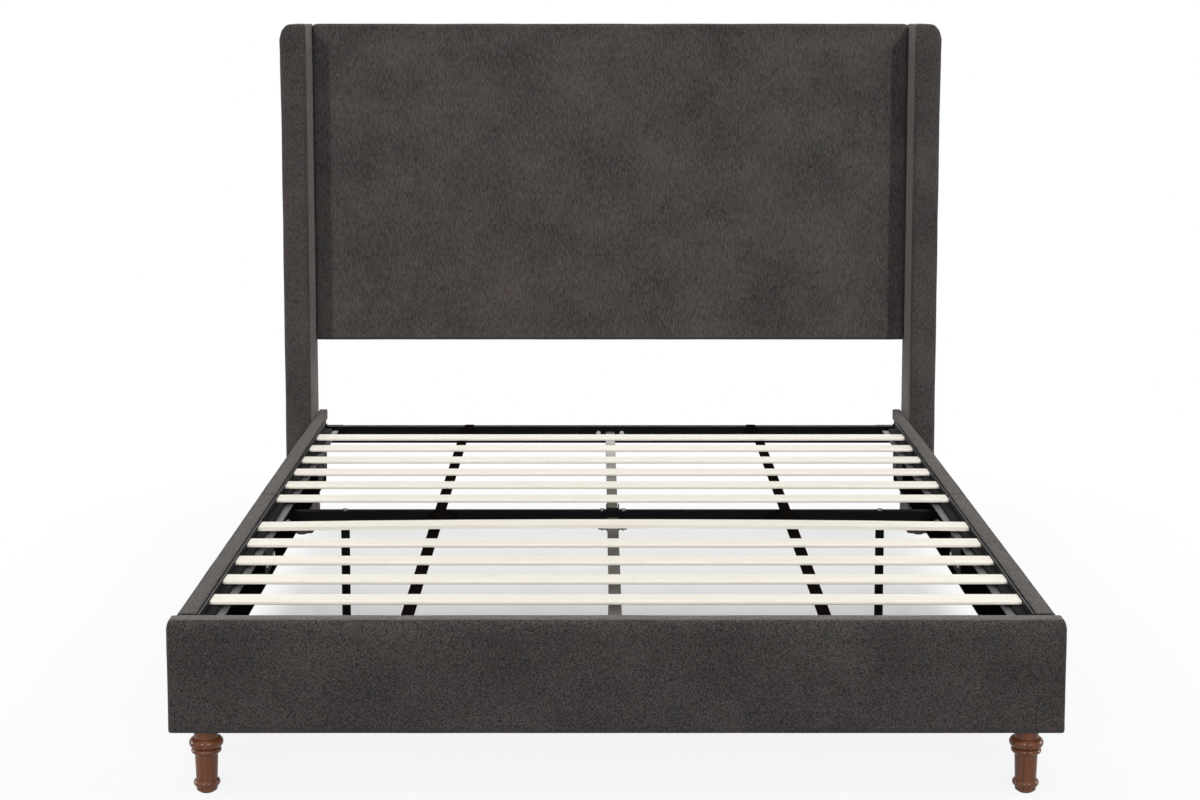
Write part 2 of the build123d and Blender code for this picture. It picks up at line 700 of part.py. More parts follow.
with BuildPart() as footboard_corner_brackets:
    with BuildSketch(Plane.YZ.offset(plate_inner)) as corner_web:
        rectangle_between(foot_rear, foot_rear + foot_plate_reach, plate_bottom_height, plate_top_under_batten)
        fillet(corner_web.vertices().group_by(Axis.Y)[-1], radius=plate_round)
    extrude(amount=plate_thick)
    with BuildSketch(across(foot_rear + plate_thick)) as corner_flange:
        rectangle_between(plate_inner - foot_plate_reach, plate_inner, plate_bottom_height,
                          plate_top_under_batten)
        fillet(corner_flange.vertices().group_by(Axis.X)[0], radius=plate_round)
    extrude(amount=plate_thick)
    for spot_z in (joint_bolt_low, joint_bolt_high):
        bore((plate_inner, foot_bolt_y, spot_z), toward_right, plate_thick, bolt_hole)
        bore((foot_bolt_x, foot_rear, spot_z), toward_head, plate_thick, bolt_hole)
    mirror(about=Plane.YZ)
save(footboard_corner_brackets, "footboard_corner_brackets")

# The bracket at the head stands taller than the batten it ends, with a sloped rear corner
head_plate_top = batten_bottom + head_plate_above
ear_inner = plate_inner - shelf_reach
rear_ear_bolt_x = ear_inner + ear_bolt_in
rear_ear_middle = (rear_rail_bottom + cross_top) / 2
rear_ear_levels = (rear_ear_middle - ear_bolt_split / 2, rear_ear_middle + ear_bolt_split / 2)
with BuildPart() as headboard_corner_brackets:
    with BuildSketch(Plane.YZ.offset(plate_inner)):
        with BuildLine():
            Polyline((head_plate_front, plate_bottom_height), (head_plate_rear, plate_bottom_height),
                     (head_plate_rear, head_plate_top - head_plate_slope_fall),
                     (head_plate_rear - head_plate_slope, head_plate_top),
                     (head_plate_front, head_plate_top), close=True)
        make_face()
    extrude(amount=plate_thick)
    with BuildSketch(across(rear_rail_rear + plate_thick)) as rear_ear:
        rectangle_between(ear_inner, plate_inner, rear_rail_bottom, cross_top)
        fillet(rear_ear.vertices().group_by(Axis.X)[0], radius=plate_round)
    extrude(amount=plate_thick)
    for spot_y, spot_z in rail_wing_spots:
        bore((plate_inner, spot_y, spot_z), toward_right, plate_thick, bolt_hole)
    for spot_z in rear_ear_levels:
        bore((rear_ear_bolt_x, rear_rail_rear, spot_z), toward_head, plate_thick, bolt_hole)
    mirror(about=Plane.YZ)
save(headboard_corner_brackets, "headboard_corner_brackets")

with BuildPart() as rail_bolts:
    for spot_y in (foot_bolt_y, joint_y - joint_bolt_half, joint_y + joint_bolt_half):
        for spot_z in (joint_bolt_low, joint_bolt_high):
            bolt((plate_inner, spot_y, spot_z), toward_right, plate_thick + blind_bolt_bite)
    for spot_z in (joint_bolt_low, joint_bolt_high):
        bolt((foot_bolt_x, foot_rear + plate_thick, spot_z), toward_foot,
             plate_thick + lining_thick + post_bolt_bite)
    for spot_y, spot_z in rail_wing_spots:
        bolt((plate_inner, spot_y, spot_z), toward_right, wing_room_in - plate_inner - tip_short)
    bolt((mid_ear_bolt_x, mid_rail_front, mid_ear_bolt_z), toward_head,
         mid_rail_depth + plate_thick + ear_bolt_tail)
    for spot_z in rear_ear_levels:
        bolt((rear_ear_bolt_x, rear_rail_front, spot_z), toward_head,
             rear_rail_depth + plate_thick + ear_bolt_tail)
    bolt((rear_cradle_bolt_x, rear_rail_front - cradle_thick, cross_top - rear_cradle_bolt_drop),
         toward_head, cradle_thick + rear_rail_depth + ear_bolt_tail)
    mirror(about=Plane.YZ)
save(rail_bolts, "rail_bolts")


# Cross rails: rectangular tubes, bored for the screws of their brackets and legs
rear_half = plate_inner - rear_rail_end_gap
with BuildPart() as rear_cross_rail:
    with BuildSketch(Plane.YZ.offset(-rear_half)) as rear_tube:
        rectangle_between(rear_rail_front, rear_rail_rear, rear_rail_bottom, cross_top)
        fillet(rear_tube.vertices(), radius=tube_round)
        rectangle_between(rear_rail_front + tube_wall, rear_rail_rear - tube_wall,
                          rear_rail_bottom + tube_wall, cross_top - tube_wall, mode=Mode.SUBTRACT)
    extrude(amount=2 * rear_half)
    for side in (-1, 1):
        for spot_z in rear_ear_levels:
            bore((side * rear_ear_bolt_x, rear_rail_front, spot_z), toward_head, rear_rail_depth, bolt_hole)
        bore((side * rear_cradle_bolt_x, rear_rail_front, cross_top - rear_cradle_bolt_drop), toward_head,
             rear_rail_depth, bolt_hole)
save(rear_cross_rail, "rear_cross_rail")

mid_half = plate_inner - mid_rail_end_gap
leg_bolt_spots = (-support_leg_x, -support_bolt_x, support_bolt_x, support_leg_x)
with BuildPart() as mid_cross_rail:
    with BuildSketch(Plane.YZ.offset(-mid_half)) as mid_tube:
        rectangle_between(mid_rail_front, mid_rail_rear, mid_rail_bottom, cross_top)
        fillet(mid_tube.vertices(), radius=tube_round)
        rectangle_between(mid_rail_front + tube_wall, mid_rail_rear - tube_wall,
                          mid_rail_bottom + tube_wall, cross_top - tube_wall, mode=Mode.SUBTRACT)
    extrude(amount=2 * mid_half)
    for side in (-1, 1):
        bore((side * mid_ear_bolt_x, mid_rail_front, mid_ear_bolt_z), toward_head, mid_rail_depth, bolt_hole)
    for spot_x in leg_bolt_spots:
        bore((spot_x, joint_y, cross_top), downward, mid_rail_height, bolt_hole)
save(mid_cross_rail, "mid_cross_rail")

# Centre rail: two lengths of tube between the footboard and the faces of the cross rails
centre_half = centre_rail_width / 2
saddle_front = mid_rail_front - cradle_thick
saddle_rear = mid_rail_rear + cradle_thick
rear_cradle_face = rear_rail_front - cradle_thick
centre_spans = {
    "front": (foot_rear + centre_rail_foot_gap, saddle_front - centre_rail_end_gap),
    "rear": (saddle_rear + centre_rail_end_gap, rear_cradle_face - centre_rail_end_gap),
}
for half_name, span in centre_spans.items():
    with BuildPart() as centre_rail:
        with BuildSketch(across(span[1])) as centre_section:
            rectangle_between(-centre_half, centre_half, centre_rail_bottom, centre_rail_top)
            fillet(centre_section.vertices(), radius=tube_round)
            rectangle_between(-centre_half + centre_rail_wall, centre_half - centre_rail_wall,
                              centre_rail_bottom + centre_rail_wall, centre_rail_top - centre_rail_wall,
                              mode=Mode.SUBTRACT)
        extrude(amount=span[1] - span[0])
    save(centre_rail, "centre_rail_" + half_name)

# Its brackets: a pocket on the footboard, a saddle hung over the middle cross rail with
# a cradle on each side of it, and a cradle bolted to the face of the rear cross rail
cradle_half = centre_half + cradle_thick
cradle_bottom = centre_rail_bottom - cradle_thick
cradle_top = centre_rail_bottom + cradle_side_height
with BuildPart() as centre_rail_brackets:
    pocket_front = foot_rear + cradle_thick
    box_between(-pocket_plate_width / 2, pocket_plate_width / 2, foot_rear, pocket_front,
                cradle_bottom - pocket_plate_drop, cradle_top)
    for cradle in ((pocket_front, pocket_front + pocket_reach),
                   (saddle_front - cradle_reach, saddle_front),
                   (saddle_rear, saddle_rear + cradle_reach),
                   (rear_cradle_face - cradle_reach, rear_cradle_face)):
        with BuildSketch(across(cradle[1])):
            rectangle_between(-cradle_half, cradle_half, cradle_bottom, cradle_top)
            rectangle_between(-centre_half, centre_half, centre_rail_bottom, cradle_top, mode=Mode.SUBTRACT)
        extrude(amount=cradle[1] - cradle[0])
    with BuildSketch(Plane.YZ.offset(-cradle_half)):
        rectangle_between(saddle_front, saddle_rear, cradle_bottom, cross_top + cradle_thick)
        rectangle_between(mid_rail_front, mid_rail_rear, cradle_bottom, cross_top, mode=Mode.SUBTRACT)
    extrude(amount=2 * cradle_half)
    for side in (-1, 1):
        box_between(side * (centre_half + cradle_thick / 2) - cradle_thick / 2,
                    side * (centre_half + cradle_thick / 2) + cradle_thick / 2,
                    saddle_front, saddle_rear, cross_top + cradle_thick, cross_top + saddle_ear_height)
    with BuildSketch(across(rear_rail_front)):
        rectangle_between(-rear_cradle_plate_width / 2, rear_cradle_plate_width / 2,
                          cradle_bottom, cross_top - rear_cradle_below_top)
    extrude(amount=cradle_thick)
    for side in (-1, 1):
        bore((side * rear_cradle_bolt_x, rear_cradle_face, cross_top - rear_cradle_bolt_drop),
             toward_head, cradle_thick, bolt_hole)
save(centre_rail_brackets, "centre_rail_brackets")

# Middle legs: tubes under the middle cross rail, each on a levelling foot
tube_bore = support_tube_radius - support_tube_wall
support_top = mid_rail_bottom - support_plate_thick
for leg_name, leg_x, bolt_offsets in (("left", -support_leg_x, (0,)),
                                      ("centre", 0, (-support_bolt_x, support_bolt_x)),
                                      ("right", support_leg_x, (0,))):
    with BuildPart() as support_leg:
        with BuildSketch(Plane.XY.offset(support_top)) as top_plate:
            with Locations((leg_x, joint_y)):
                Rectangle(support_plate_width, mid_rail_depth)
            fillet(top_plate.vertices(), radius=tube_round)
        extrude(amount=support_plate_thick)
        with BuildSketch(Plane.XY.offset(foot_open_height)):
            with Locations((leg_x, joint_y)):
                Circle(support_tube_radius)
                Circle(tube_bore, mode=Mode.SUBTRACT)
        extrude(amount=support_top - foot_open_height)
        with BuildSketch(Plane.XY.offset(foot_open_height)):
            with Locations((leg_x, joint_y)):
                Circle(tube_bore)
                Circle(foot_stud_radius + thread_clearance, mode=Mode.SUBTRACT)
        extrude(amount=support_insert_height)
        for offset_x in bolt_offsets:
            bore((leg_x + offset_x, joint_y, mid_rail_bottom), downward, support_plate_thick, bolt_hole)
    save(support_leg, "support_leg_" + leg_name)

    with BuildPart() as levelling_foot:
        with BuildSketch():
            with Locations((leg_x, joint_y)):
                Circle(foot_pad_radius)
        extrude(amount=foot_pad_height)
        chamfer(levelling_foot.edges().group_by(Axis.Z)[-1], length=foot_pad_edge)
        with BuildSketch(Plane.XY.offset(foot_pad_height)):
            with Locations((leg_x, joint_y)):
                Circle(foot_stud_radius)
        extrude(amount=foot_open_height - foot_pad_height + foot_stud_engaged)
        with BuildSketch(Plane.XY.offset(foot_pad_height + foot_hex_gap)):
            with Locations((leg_x, joint_y)):
                RegularPolygon(foot_hex_flats / 2, 6, major_radius=False)
        extrude(amount=foot_hex_height)
    save(levelling_foot, "levelling_foot_" + leg_name)

with BuildPart() as support_leg_bolts:
    for spot_x in leg_bolt_spots:
        bolt((spot_x, joint_y, cross_top), downward,
             mid_rail_height + support_plate_thick + support_bolt_tail)
save(support_leg_bolts, "support_leg_bolts")


# Webbing under the slats, fixed to the footboard and to the rear cross rail
strap_rear = rear_rail_rear - strap_end_short
with BuildPart() as slat_straps:
    last_slat_rear = panel_front - head_slat_back
    with BuildSketch(Plane.YZ.offset(strap_x - strap_width / 2)):
        with BuildLine():
            Polyline((foot_rear, slat_bottom), (last_slat_rear, slat_bottom),
                     (rear_rail_front + tube_round, cross_top + strap_thick),
                     (strap_rear, cross_top + strap_thick),
                     (strap_rear, cross_top),
                     (rear_rail_front + tube_round, cross_top),
                     (last_slat_rear, slat_bottom - strap_thick),
                     (foot_rear + strap_thick, slat_bottom - strap_thick),
                     (foot_rear + strap_thick, slat_bottom - strap_tab),
                     (foot_rear, slat_bottom - strap_tab), close=True)
        make_face()
    extrude(amount=strap_width)
    mirror(about=Plane.YZ)
save(slat_straps, "slat_straps")


# Slats, numbered from the head; the first one of the foot half has a lasting bow
slat_half = angle_leg_in - slat_end_play
slat_rears = []
for slat_number in range(head_slats):
    slat_rears.append(panel_front - head_slat_back - slat_number * head_slat_pitch)
for slat_number in reversed(range(foot_slats)):
    slat_rears.append(foot_rear + foot_slat_front + slat_width + slat_number * foot_slat_pitch)
for slat_number, slat_rear in enumerate(slat_rears):
    with BuildPart() as slat:
        if slat_number == head_slats:
            with BuildSketch(across(slat_rear)):
                with BuildLine():
                    ThreePointArc((-slat_half, slat_bottom), (0, slat_bottom + slat_bow), (slat_half, slat_bottom))
                    Line((slat_half, slat_bottom), (slat_half, slat_top))
                    ThreePointArc((slat_half, slat_top), (0, slat_top + slat_bow), (-slat_half, slat_top))
                    Line((-slat_half, slat_top), (-slat_half, slat_bottom))
                make_face()
            extrude(amount=slat_width)
        else:
            with BuildSketch(Plane.YZ.offset(-slat_half)) as slat_section:
                rectangle_between(slat_rear - slat_width, slat_rear, slat_bottom, slat_top)
                fillet(slat_section.vertices(), radius=slat_edge_round)
            extrude(amount=2 * slat_half)
    save(slat, "slat_" + str(slat_number + 1).zfill(2))
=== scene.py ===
import math

import bpy
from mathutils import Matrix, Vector, noise


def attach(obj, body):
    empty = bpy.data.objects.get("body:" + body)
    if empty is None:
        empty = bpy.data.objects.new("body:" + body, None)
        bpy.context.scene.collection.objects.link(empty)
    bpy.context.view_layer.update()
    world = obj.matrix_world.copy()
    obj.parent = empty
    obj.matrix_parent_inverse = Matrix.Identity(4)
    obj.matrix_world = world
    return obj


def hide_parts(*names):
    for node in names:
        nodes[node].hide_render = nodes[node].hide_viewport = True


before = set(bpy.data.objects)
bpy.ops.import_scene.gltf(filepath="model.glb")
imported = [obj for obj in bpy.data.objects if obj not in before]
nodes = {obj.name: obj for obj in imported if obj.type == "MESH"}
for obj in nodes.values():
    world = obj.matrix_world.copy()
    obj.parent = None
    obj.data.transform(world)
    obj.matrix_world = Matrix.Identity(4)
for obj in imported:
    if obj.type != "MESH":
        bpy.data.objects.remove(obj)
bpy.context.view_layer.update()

print("bed frame loaded,", len(nodes), "pieces")


# shader sums: a Wire is one socket's value, a Paint is one material being mixed
class Wire:
    def __init__(self, paint, socket):
        self.paint, self.socket = paint, socket

    def sum(self, operation, first, second):
        return self.paint.node("ShaderNodeMath", {"operation": operation}, {0: first, 1: second})

    def __add__(self, other): return self.sum("ADD", self, other)
    def __radd__(self, other): return self.sum("ADD", other, self)
    def __sub__(self, other): return self.sum("SUBTRACT", self, other)
    def __rsub__(self, other): return self.sum("SUBTRACT", other, self)
    def __mul__(self, other): return self.sum("MULTIPLY", self, other)
    def __rmul__(self, other): return self.sum("MULTIPLY", other, self)
    def __truediv__(self, other): return self.sum("DIVIDE", self, other)
    def __pow__(self, other): return self.sum("POWER", self, other)
    def __gt__(self, other): return self.sum("GREATER_THAN", self, other)

    def sized(self): return self.paint.node("ShaderNodeMath", {"operation": "ABSOLUTE"}, {0: self})
    def wave(self): return self.paint.node("ShaderNodeMath", {"operation": "SINE"}, {0: self})
    def whole(self): return self.paint.node("ShaderNodeMath", {"operation": "FLOOR"}, {0: self})
    def kept(self): return self.paint.node("ShaderNodeClamp", {}, {"Value": self})
    def most(self, other): return self.sum("MAXIMUM", self, other)

    def part(self, name):
        return Wire(self.paint, self.socket.node.outputs[name])


class Paint:
    def __init__(self, name, holder=None):
        self.material = holder or bpy.data.materials.new(name)
        self.material.use_nodes = True
        self.tree = self.material.node_tree
        self.tree.nodes.clear()

    def node(self, kind, settings=None, sockets=None, output=0):
        made = self.tree.nodes.new(kind)
        for name, value in (settings or {}).items():
            setattr(made, name, value)
        for name, value in (sockets or {}).items():
            if isinstance(value, Wire):
                self.tree.links.new(value.socket, made.inputs[name])
            else:
                made.inputs[name].default_value = value
        return Wire(self, made.outputs[output])

    def place(self):
        return self.node("ShaderNodeTexCoord", output="Object")

    def millimetres(self):
        return self.stretched(self.place(), (1000, 1000, 1000))

    def stretched(self, vector, amounts):
        return self.node("ShaderNodeVectorMath", {"operation": "MULTIPLY"}, {0: vector, 1: amounts})

    def split(self, vector):
        made = self.node("ShaderNodeSeparateXYZ", {}, {0: vector})
        return made.part("X"), made.part("Y"), made.part("Z")

    def joined(self, x, y, z):
        return self.node("ShaderNodeCombineXYZ", {}, {0: x, 1: y, 2: z})

    def cloud(self, vector, scale, detail=2.0, rough=0.5):
        return self.node("ShaderNodeTexNoise", {"noise_dimensions": "3D"},
                         {"Vector": vector, "Scale": scale, "Detail": detail, "Roughness": rough}, "Fac")

    def fade(self, value, start, end, first=0.0, last=1.0):  # a smooth step from first to last
        return self.node("ShaderNodeMapRange", {"interpolation_type": "SMOOTHSTEP"},
                         {"Value": value, "From Min": start, "From Max": end, "To Min": first, "To Max": last})

    def blend(self, share, first, second):
        tones = [tone if isinstance(tone, Wire) else (*tone, 1) for tone in (first, second)]
        return self.node("ShaderNodeMix", {"data_type": "RGBA"}, {0: share, 6: tones[0], 7: tones[1]}, 2)

    def bump(self, height, distance, strength):
        return self.node("ShaderNodeBump", {}, {"Height": height, "Distance": distance, "Strength": strength})

    def finished(self, varying, fixed=None):
        return self.close(self.node("ShaderNodeBsdfPrincipled", {}, {**varying, **(fixed or {})}))

    def close(self, shader, kind="ShaderNodeOutputMaterial"):
        end = self.tree.nodes.new(kind)
        self.tree.links.new(shader.socket, end.inputs["Surface"])
        return self.material

    def seenStraight(self):  # 1 for camera, glossy and glass rays, 0 for the light that bounces
        seen = self.node("ShaderNodeLightPath", output="Is Camera Ray")
        return (seen + seen.part("Is Glossy Ray") + seen.part("Is Transmission Ray")).kept()


# woven upholstery cloth: plain weave, with slubs that run along one way of the yarn
clothLook = {
    "dark": (0.034, 0.0305, 0.0300),
    "light": (0.128, 0.1135, 0.1105),
    "level": 0.36,            # share of the light yarn
    "warm": (1.05, 0.975, 0.99),
    "cool": (0.95, 1.01, 0.975),
    "yarn": 1.35,             # mm from thread to thread
    "wander": 3.0,            # mm that the threads stray from straight
    "turned": 0.7,            # lean of a face past which its threads run along the bed
    "relief": {"weave": 0.6, "slub": 0.9, "fleck": 0.25, "pucker": 2.5},
    "weaveDepth": 0.0005,
    "roughness": 0.92,
    "sheenRoughness": 0.38,
    "sheenTint": (0.86, 0.81, 0.78, 1),
}

# slub is its width and length in mm, threadRun the length of a fleck in threads; the shade number is painted shade,
# the same cloth made darker on the wings, footboard and rails than on the panel for how the light falls on each
clothKinds = {
    "panelCloth": {"paintedShade": 1.0, "slub": (2.4, 20), "slubShare": 0.75, "blotchShare": 0.8,
                   "threadRun": 6.0, "fleckShare": 0.55, "sheen": 0.3},
    "wingCloth": {"paintedShade": 0.92, "slub": (3.0, 9), "slubShare": 0.9, "blotchShare": 0.9,
                  "threadRun": 3.0, "fleckShare": 0.5, "sheen": 0.25},
    "footCloth": {"paintedShade": 0.74, "slub": (2.2, 6.0), "slubShare": 0.7, "blotchShare": 0.9,
                  "threadRun": 1.2, "fleckShare": 1.1, "sheen": 0.34},
    "railCloth": {"paintedShade": 0.6, "slub": (5.0, 20), "slubShare": 2.0, "blotchShare": 1.3,
                  "threadRun": 1.6, "fleckShare": 1.25, "sheen": 0.22},
}


def upholsteryCloth(name):
    kind, yarn, relief = clothKinds[name], clothLook["yarn"], clothLook["relief"]
    paint = Paint(name)
    x, y, z = paint.split(paint.millimetres())
    nx, ny, nz = paint.split(paint.node("ShaderNodeNewGeometry", output="Normal"))
    onSide, onTop = nx.sized() > clothLook["turned"], nz.sized() > clothLook["turned"]
    across = x + (y - x) * onSide
    along = z + (y - z) * onTop
    flat = paint.joined(across, along, 0.0)

    stray = paint.cloud(flat, 0.035, 2) * clothLook["wander"]
    warp = (across + stray) * (math.pi / yarn)
    weft = (along + stray) * (math.pi / yarn)
    crossing = warp.wave() * weft.wave()
    weave = (warp.wave().sized() * (0.5 + 0.5 * crossing)
             + weft.wave().sized() * (0.5 - 0.5 * crossing))
    slubWide, slubLong = kind["slub"]
    slub = paint.cloud(paint.stretched(flat, (1 / slubWide, 1 / slubLong, 1)), 1.0, 2, 0.6)
    thread = paint.joined((across / yarn).whole(), (along / (yarn * kind["threadRun"])).whole(), 0.0)
    fleck = paint.node("ShaderNodeTexWhiteNoise", {"noise_dimensions": "2D"}, {"Vector": thread})
    blotch = paint.cloud(flat, 0.0055, 5, 0.55)
    pucker = paint.cloud(flat, 0.16, 3, 0.6)

    tone = (clothLook["level"] + (slub - 0.5) * kind["slubShare"]
            + (fleck - 0.5) * kind["fleckShare"] * (1.0 + 0.5 * onTop)
            + (blotch - 0.5) * kind["blotchShare"] + (weave - 0.6) * 0.2).kept()
    plain = paint.blend(tone, clothLook["dark"], clothLook["light"])
    hue = (paint.cloud(flat, 0.022, 3, 0.55) * 3.0 - 1.0).kept()
    # painted shade: one cloth, darkened pad by pad to stand in for how the light falls on it
    tint = paint.stretched(paint.blend(hue, clothLook["cool"], clothLook["warm"]), (kind["paintedShade"],) * 3)
    return paint.finished(
        {"Base Color": paint.stretched(plain, tint),
         "Roughness": clothLook["roughness"] - 0.12 * slub,
         "Normal": paint.bump(weave * relief["weave"] + slub * relief["slub"] + fleck * relief["fleck"]
                              + pucker * relief["pucker"] * onTop, clothLook["weaveDepth"], 0.9)},
        {"Sheen Weight": kind["sheen"], "Sheen Roughness": clothLook["sheenRoughness"],
         "Sheen Tint": clothLook["sheenTint"], "Specular IOR Level": 0.02})


# black non-woven lining, pressed with a fine diamond grid
liningLook = {"diamond": 2.4}  # mm
liningKinds = {
    # on the rail frames: a black lining made darker still, near black, partly its own colour and partly painted shade
    # inside the rails under the slats
    "blackLining": ((0.0018, 0.0015, 0.0015), (0.0065, 0.0055, 0.0055)),
    "backLining": ((0.022, 0.0205, 0.0205), (0.050, 0.0475, 0.0475)),
}


def pressedLining(name):
    paint = Paint(name)
    place = paint.millimetres()
    x, y, z = paint.split(place)
    step = math.pi / liningLook["diamond"]
    dots = ((x + y + z) * step).wave() * ((x - z - y) * step).wave()
    fibre = paint.cloud(place, 0.35, 4, 0.7)
    return paint.finished(
        {"Base Color": paint.blend((fibre * 0.9 + dots * 0.1 - 0.1).kept(), *liningKinds[name]),
         "Roughness": 0.78 + 0.15 * fibre,
         "Normal": paint.bump(dots * 0.5 + fibre, 0.0002, 0.7)},
        {"Specular IOR Level": 0.0})


# wood: long grain along one way, with finer pores on top
woodLook = {"contrast": 1.0, "coat": 0.0, "coatRoughness": 0.3, "gloss": 0.4}  # where a kind says nothing else
woodGrain = {"x": (0.06, 1, 1), "z": (1, 1, 0.06)}
woodKinds = {
    "pine": {"grain": "x", "pale": (0.70, 0.50, 0.30), "deep": (0.48, 0.29, 0.14), "roughness": 0.7},
    "plywood": {"grain": "z", "pale": (0.70, 0.53, 0.35), "deep": (0.52, 0.36, 0.21), "roughness": 0.7},
    "slatWood": {"grain": "x", "pale": (0.87, 0.835, 0.755), "deep": (0.73, 0.66, 0.54), "roughness": 0.62,
                 "contrast": 0.55},
    "legWood": {"grain": "z", "pale": (0.160, 0.051, 0.019), "deep": (0.050, 0.014, 0.005), "roughness": 0.6,
                "coat": 0.5, "coatRoughness": 0.16, "gloss": 0.1},
}


def sawnWood(name):
    kind = {**woodLook, **woodKinds[name]}
    paint = Paint(name)
    grain = paint.stretched(paint.millimetres(), woodGrain[kind["grain"]])
    bend = paint.cloud(grain, 0.02, 2)
    bands = (bend * 60 + paint.split(grain)[1] * 0.05).wave() * 0.5 + 0.5
    pores = paint.cloud(grain, 0.9, 3, 0.65)
    streak = paint.cloud(grain, 0.11, 3, 0.6)
    tone = ((bands * 0.35 + streak * 0.9 + pores * 0.3 - 0.45) * kind["contrast"] + 0.1).kept()
    return paint.finished(
        {"Base Color": paint.blend(tone, kind["pale"], kind["deep"]),
         "Roughness": kind["roughness"] + 0.12 * (pores - 0.5),
         "Normal": paint.bump(pores * 0.7 + streak * 0.5, 0.00025, 0.6)},
        {"Coat Weight": kind["coat"], "Coat Roughness": kind["coatRoughness"], "Specular IOR Level": kind["gloss"]})


# painted or plated steel
peelLook = {"size": 0.8, "depth": 0.00006}  # the fine unevenness of the paint
steelKinds = {
    "blackSteel": {"colour": (0.003, 0.0028, 0.003), "lighter": (0.0065, 0.0063, 0.0068),
                   "roughness": 0.62, "metal": 0.0, "gloss": 0.03},
    "railSteel": {"colour": (0.060, 0.054, 0.042), "lighter": (0.088, 0.080, 0.063),
                  "roughness": 0.45, "metal": 0.2, "gloss": 0.3},
    "zincSteel": {"colour": (0.52, 0.51, 0.48), "lighter": (0.68, 0.67, 0.64),
                  "roughness": 0.34, "metal": 1.0, "gloss": 0.5},
}


def coatedSteel(name):
    kind = steelKinds[name]
    paint = Paint(name)
    place = paint.millimetres()
    peel = paint.cloud(place, peelLook["size"], 3, 0.6)
    wear = paint.cloud(place, 0.02, 4, 0.6)
    return paint.finished(
        {"Base Color": paint.blend((wear * 1.1 - 0.15).kept(), kind["colour"], kind["lighter"]),
         "Roughness": kind["roughness"] + 0.22 * (wear - 0.5) + 0.08 * (peel - 0.5),
         "Normal": paint.bump(peel, peelLook["depth"], 0.7)},
        {"Metallic": kind["metal"], "Specular IOR Level": kind["gloss"]})


ledgeLook = {
    "split": 307.5,           # mm up: below it the flange that carries the slats, painted grey as a painted reflection on its black steel; above it the black upright leg
    "paintedReflection": ((0.07, 0.068, 0.07), (0.12, 0.117, 0.12)),
    "black": ((0.006, 0.0057, 0.006), (0.011, 0.0105, 0.011)),
}


def ledgeSteel(name):
    paint = Paint(name)
    place = paint.millimetres()
    x, y, z = paint.split(place)
    peel = paint.cloud(place, peelLook["size"], 3, 0.6)
    wear = paint.cloud(place, 0.03, 4, 0.6)
    # the flange's grey is a painted reflection: the steel is black all over, and its flat top is painted lighter as
    # if it caught the bright surroundings at a grazing angle
    upright = ((z - ledgeLook["split"]) * 1.5).kept()
    return paint.finished(
        {"Base Color": paint.blend(upright, paint.blend(wear, *ledgeLook["paintedReflection"]),
                                   paint.blend(wear, *ledgeLook["black"])),
         "Roughness": 0.5 + 0.2 * (wear - 0.5),
         "Normal": paint.bump(peel, peelLook["depth"], 0.7)},
        {"Specular IOR Level": 0.1})


boltLook = {
    "bright": ((0.50, 0.49, 0.46), (0.68, 0.67, 0.64)),
    "black": ((0.006, 0.006, 0.006), (0.014, 0.014, 0.014)),
    "blackFrom": (735, 950),  # mm out and back: the bolts of the headboard's corner brackets are painted
    "turning": 0.9,           # mm from one mark of the lathe to the next
}


def boltSteel(name):
    paint = Paint(name)
    place = paint.millimetres()
    x, y, z = paint.split(place)
    painted = (x.sized() > boltLook["blackFrom"][0]) * (y > boltLook["blackFrom"][1])
    wear = paint.cloud(place, 0.3, 4, 0.6)
    turned = (z * (2 * math.pi / boltLook["turning"])).wave() * 0.5 + 0.5
    return paint.finished(
        {"Base Color": paint.blend(painted, paint.blend(wear, *boltLook["bright"]),
                                   paint.blend(wear, *boltLook["black"])),
         "Roughness": 0.34 + 0.15 * painted + 0.12 * (wear - 0.5),
         "Metallic": 1.0 - painted,
         "Normal": paint.bump(wear * 0.4 + turned * 0.2, 0.0001, 0.6)})


glideLook = {"tones": ((0.014, 0.014, 0.014), (0.032, 0.032, 0.032))}


def mouldedNylon(name):
    paint = Paint(name)
    grainy = paint.cloud(paint.millimetres(), 1.6, 3, 0.6)
    return paint.finished(
        {"Base Color": paint.blend(grainy, *glideLook["tones"]),
         "Roughness": 0.5 + 0.15 * grainy,
         "Normal": paint.bump(grainy, 0.00008, 0.6)})


levellingFootLook = {
    "studFrom": 9.5,          # mm up: nylon pad below, zinc threaded stud above
    "pitch": 1.25,            # mm from thread to thread
    "nylon": ((0.012, 0.012, 0.012), (0.03, 0.03, 0.03)),
    "zinc": ((0.5, 0.49, 0.46), (0.66, 0.65, 0.62)),
}


def levellingFoot(name):
    paint = Paint(name)
    place = paint.millimetres()
    x, y, z = paint.split(place)
    stud = z > levellingFootLook["studFrom"]
    thread = ((z * (2 * math.pi / levellingFootLook["pitch"])).wave() * 0.5 + 0.5) * stud
    grainy = paint.cloud(place, 1.4, 3, 0.6)
    return paint.finished(
        {"Base Color": paint.blend(stud, paint.blend(grainy, *levellingFootLook["nylon"]),
                                   paint.blend(grainy, *levellingFootLook["zinc"])),
         "Roughness": 0.55 - 0.25 * stud + 0.1 * grainy,
         "Metallic": stud,
         "Normal": paint.bump(thread + grainy * 0.15, 0.0006, 0.8)})


webbingLook = {               # sizes in mm
    "zigzagWide": 6, "zigzagTall": 1.5, "chevron": 1.4, "cord": 1.6,
    # the tones are near black: the webbing's own brownish grey made darker, painted shade for the shadow of the slats
    # above it
    "tones": ((0.0022, 0.0017, 0.0015), (0.0095, 0.0072, 0.0064)),
}


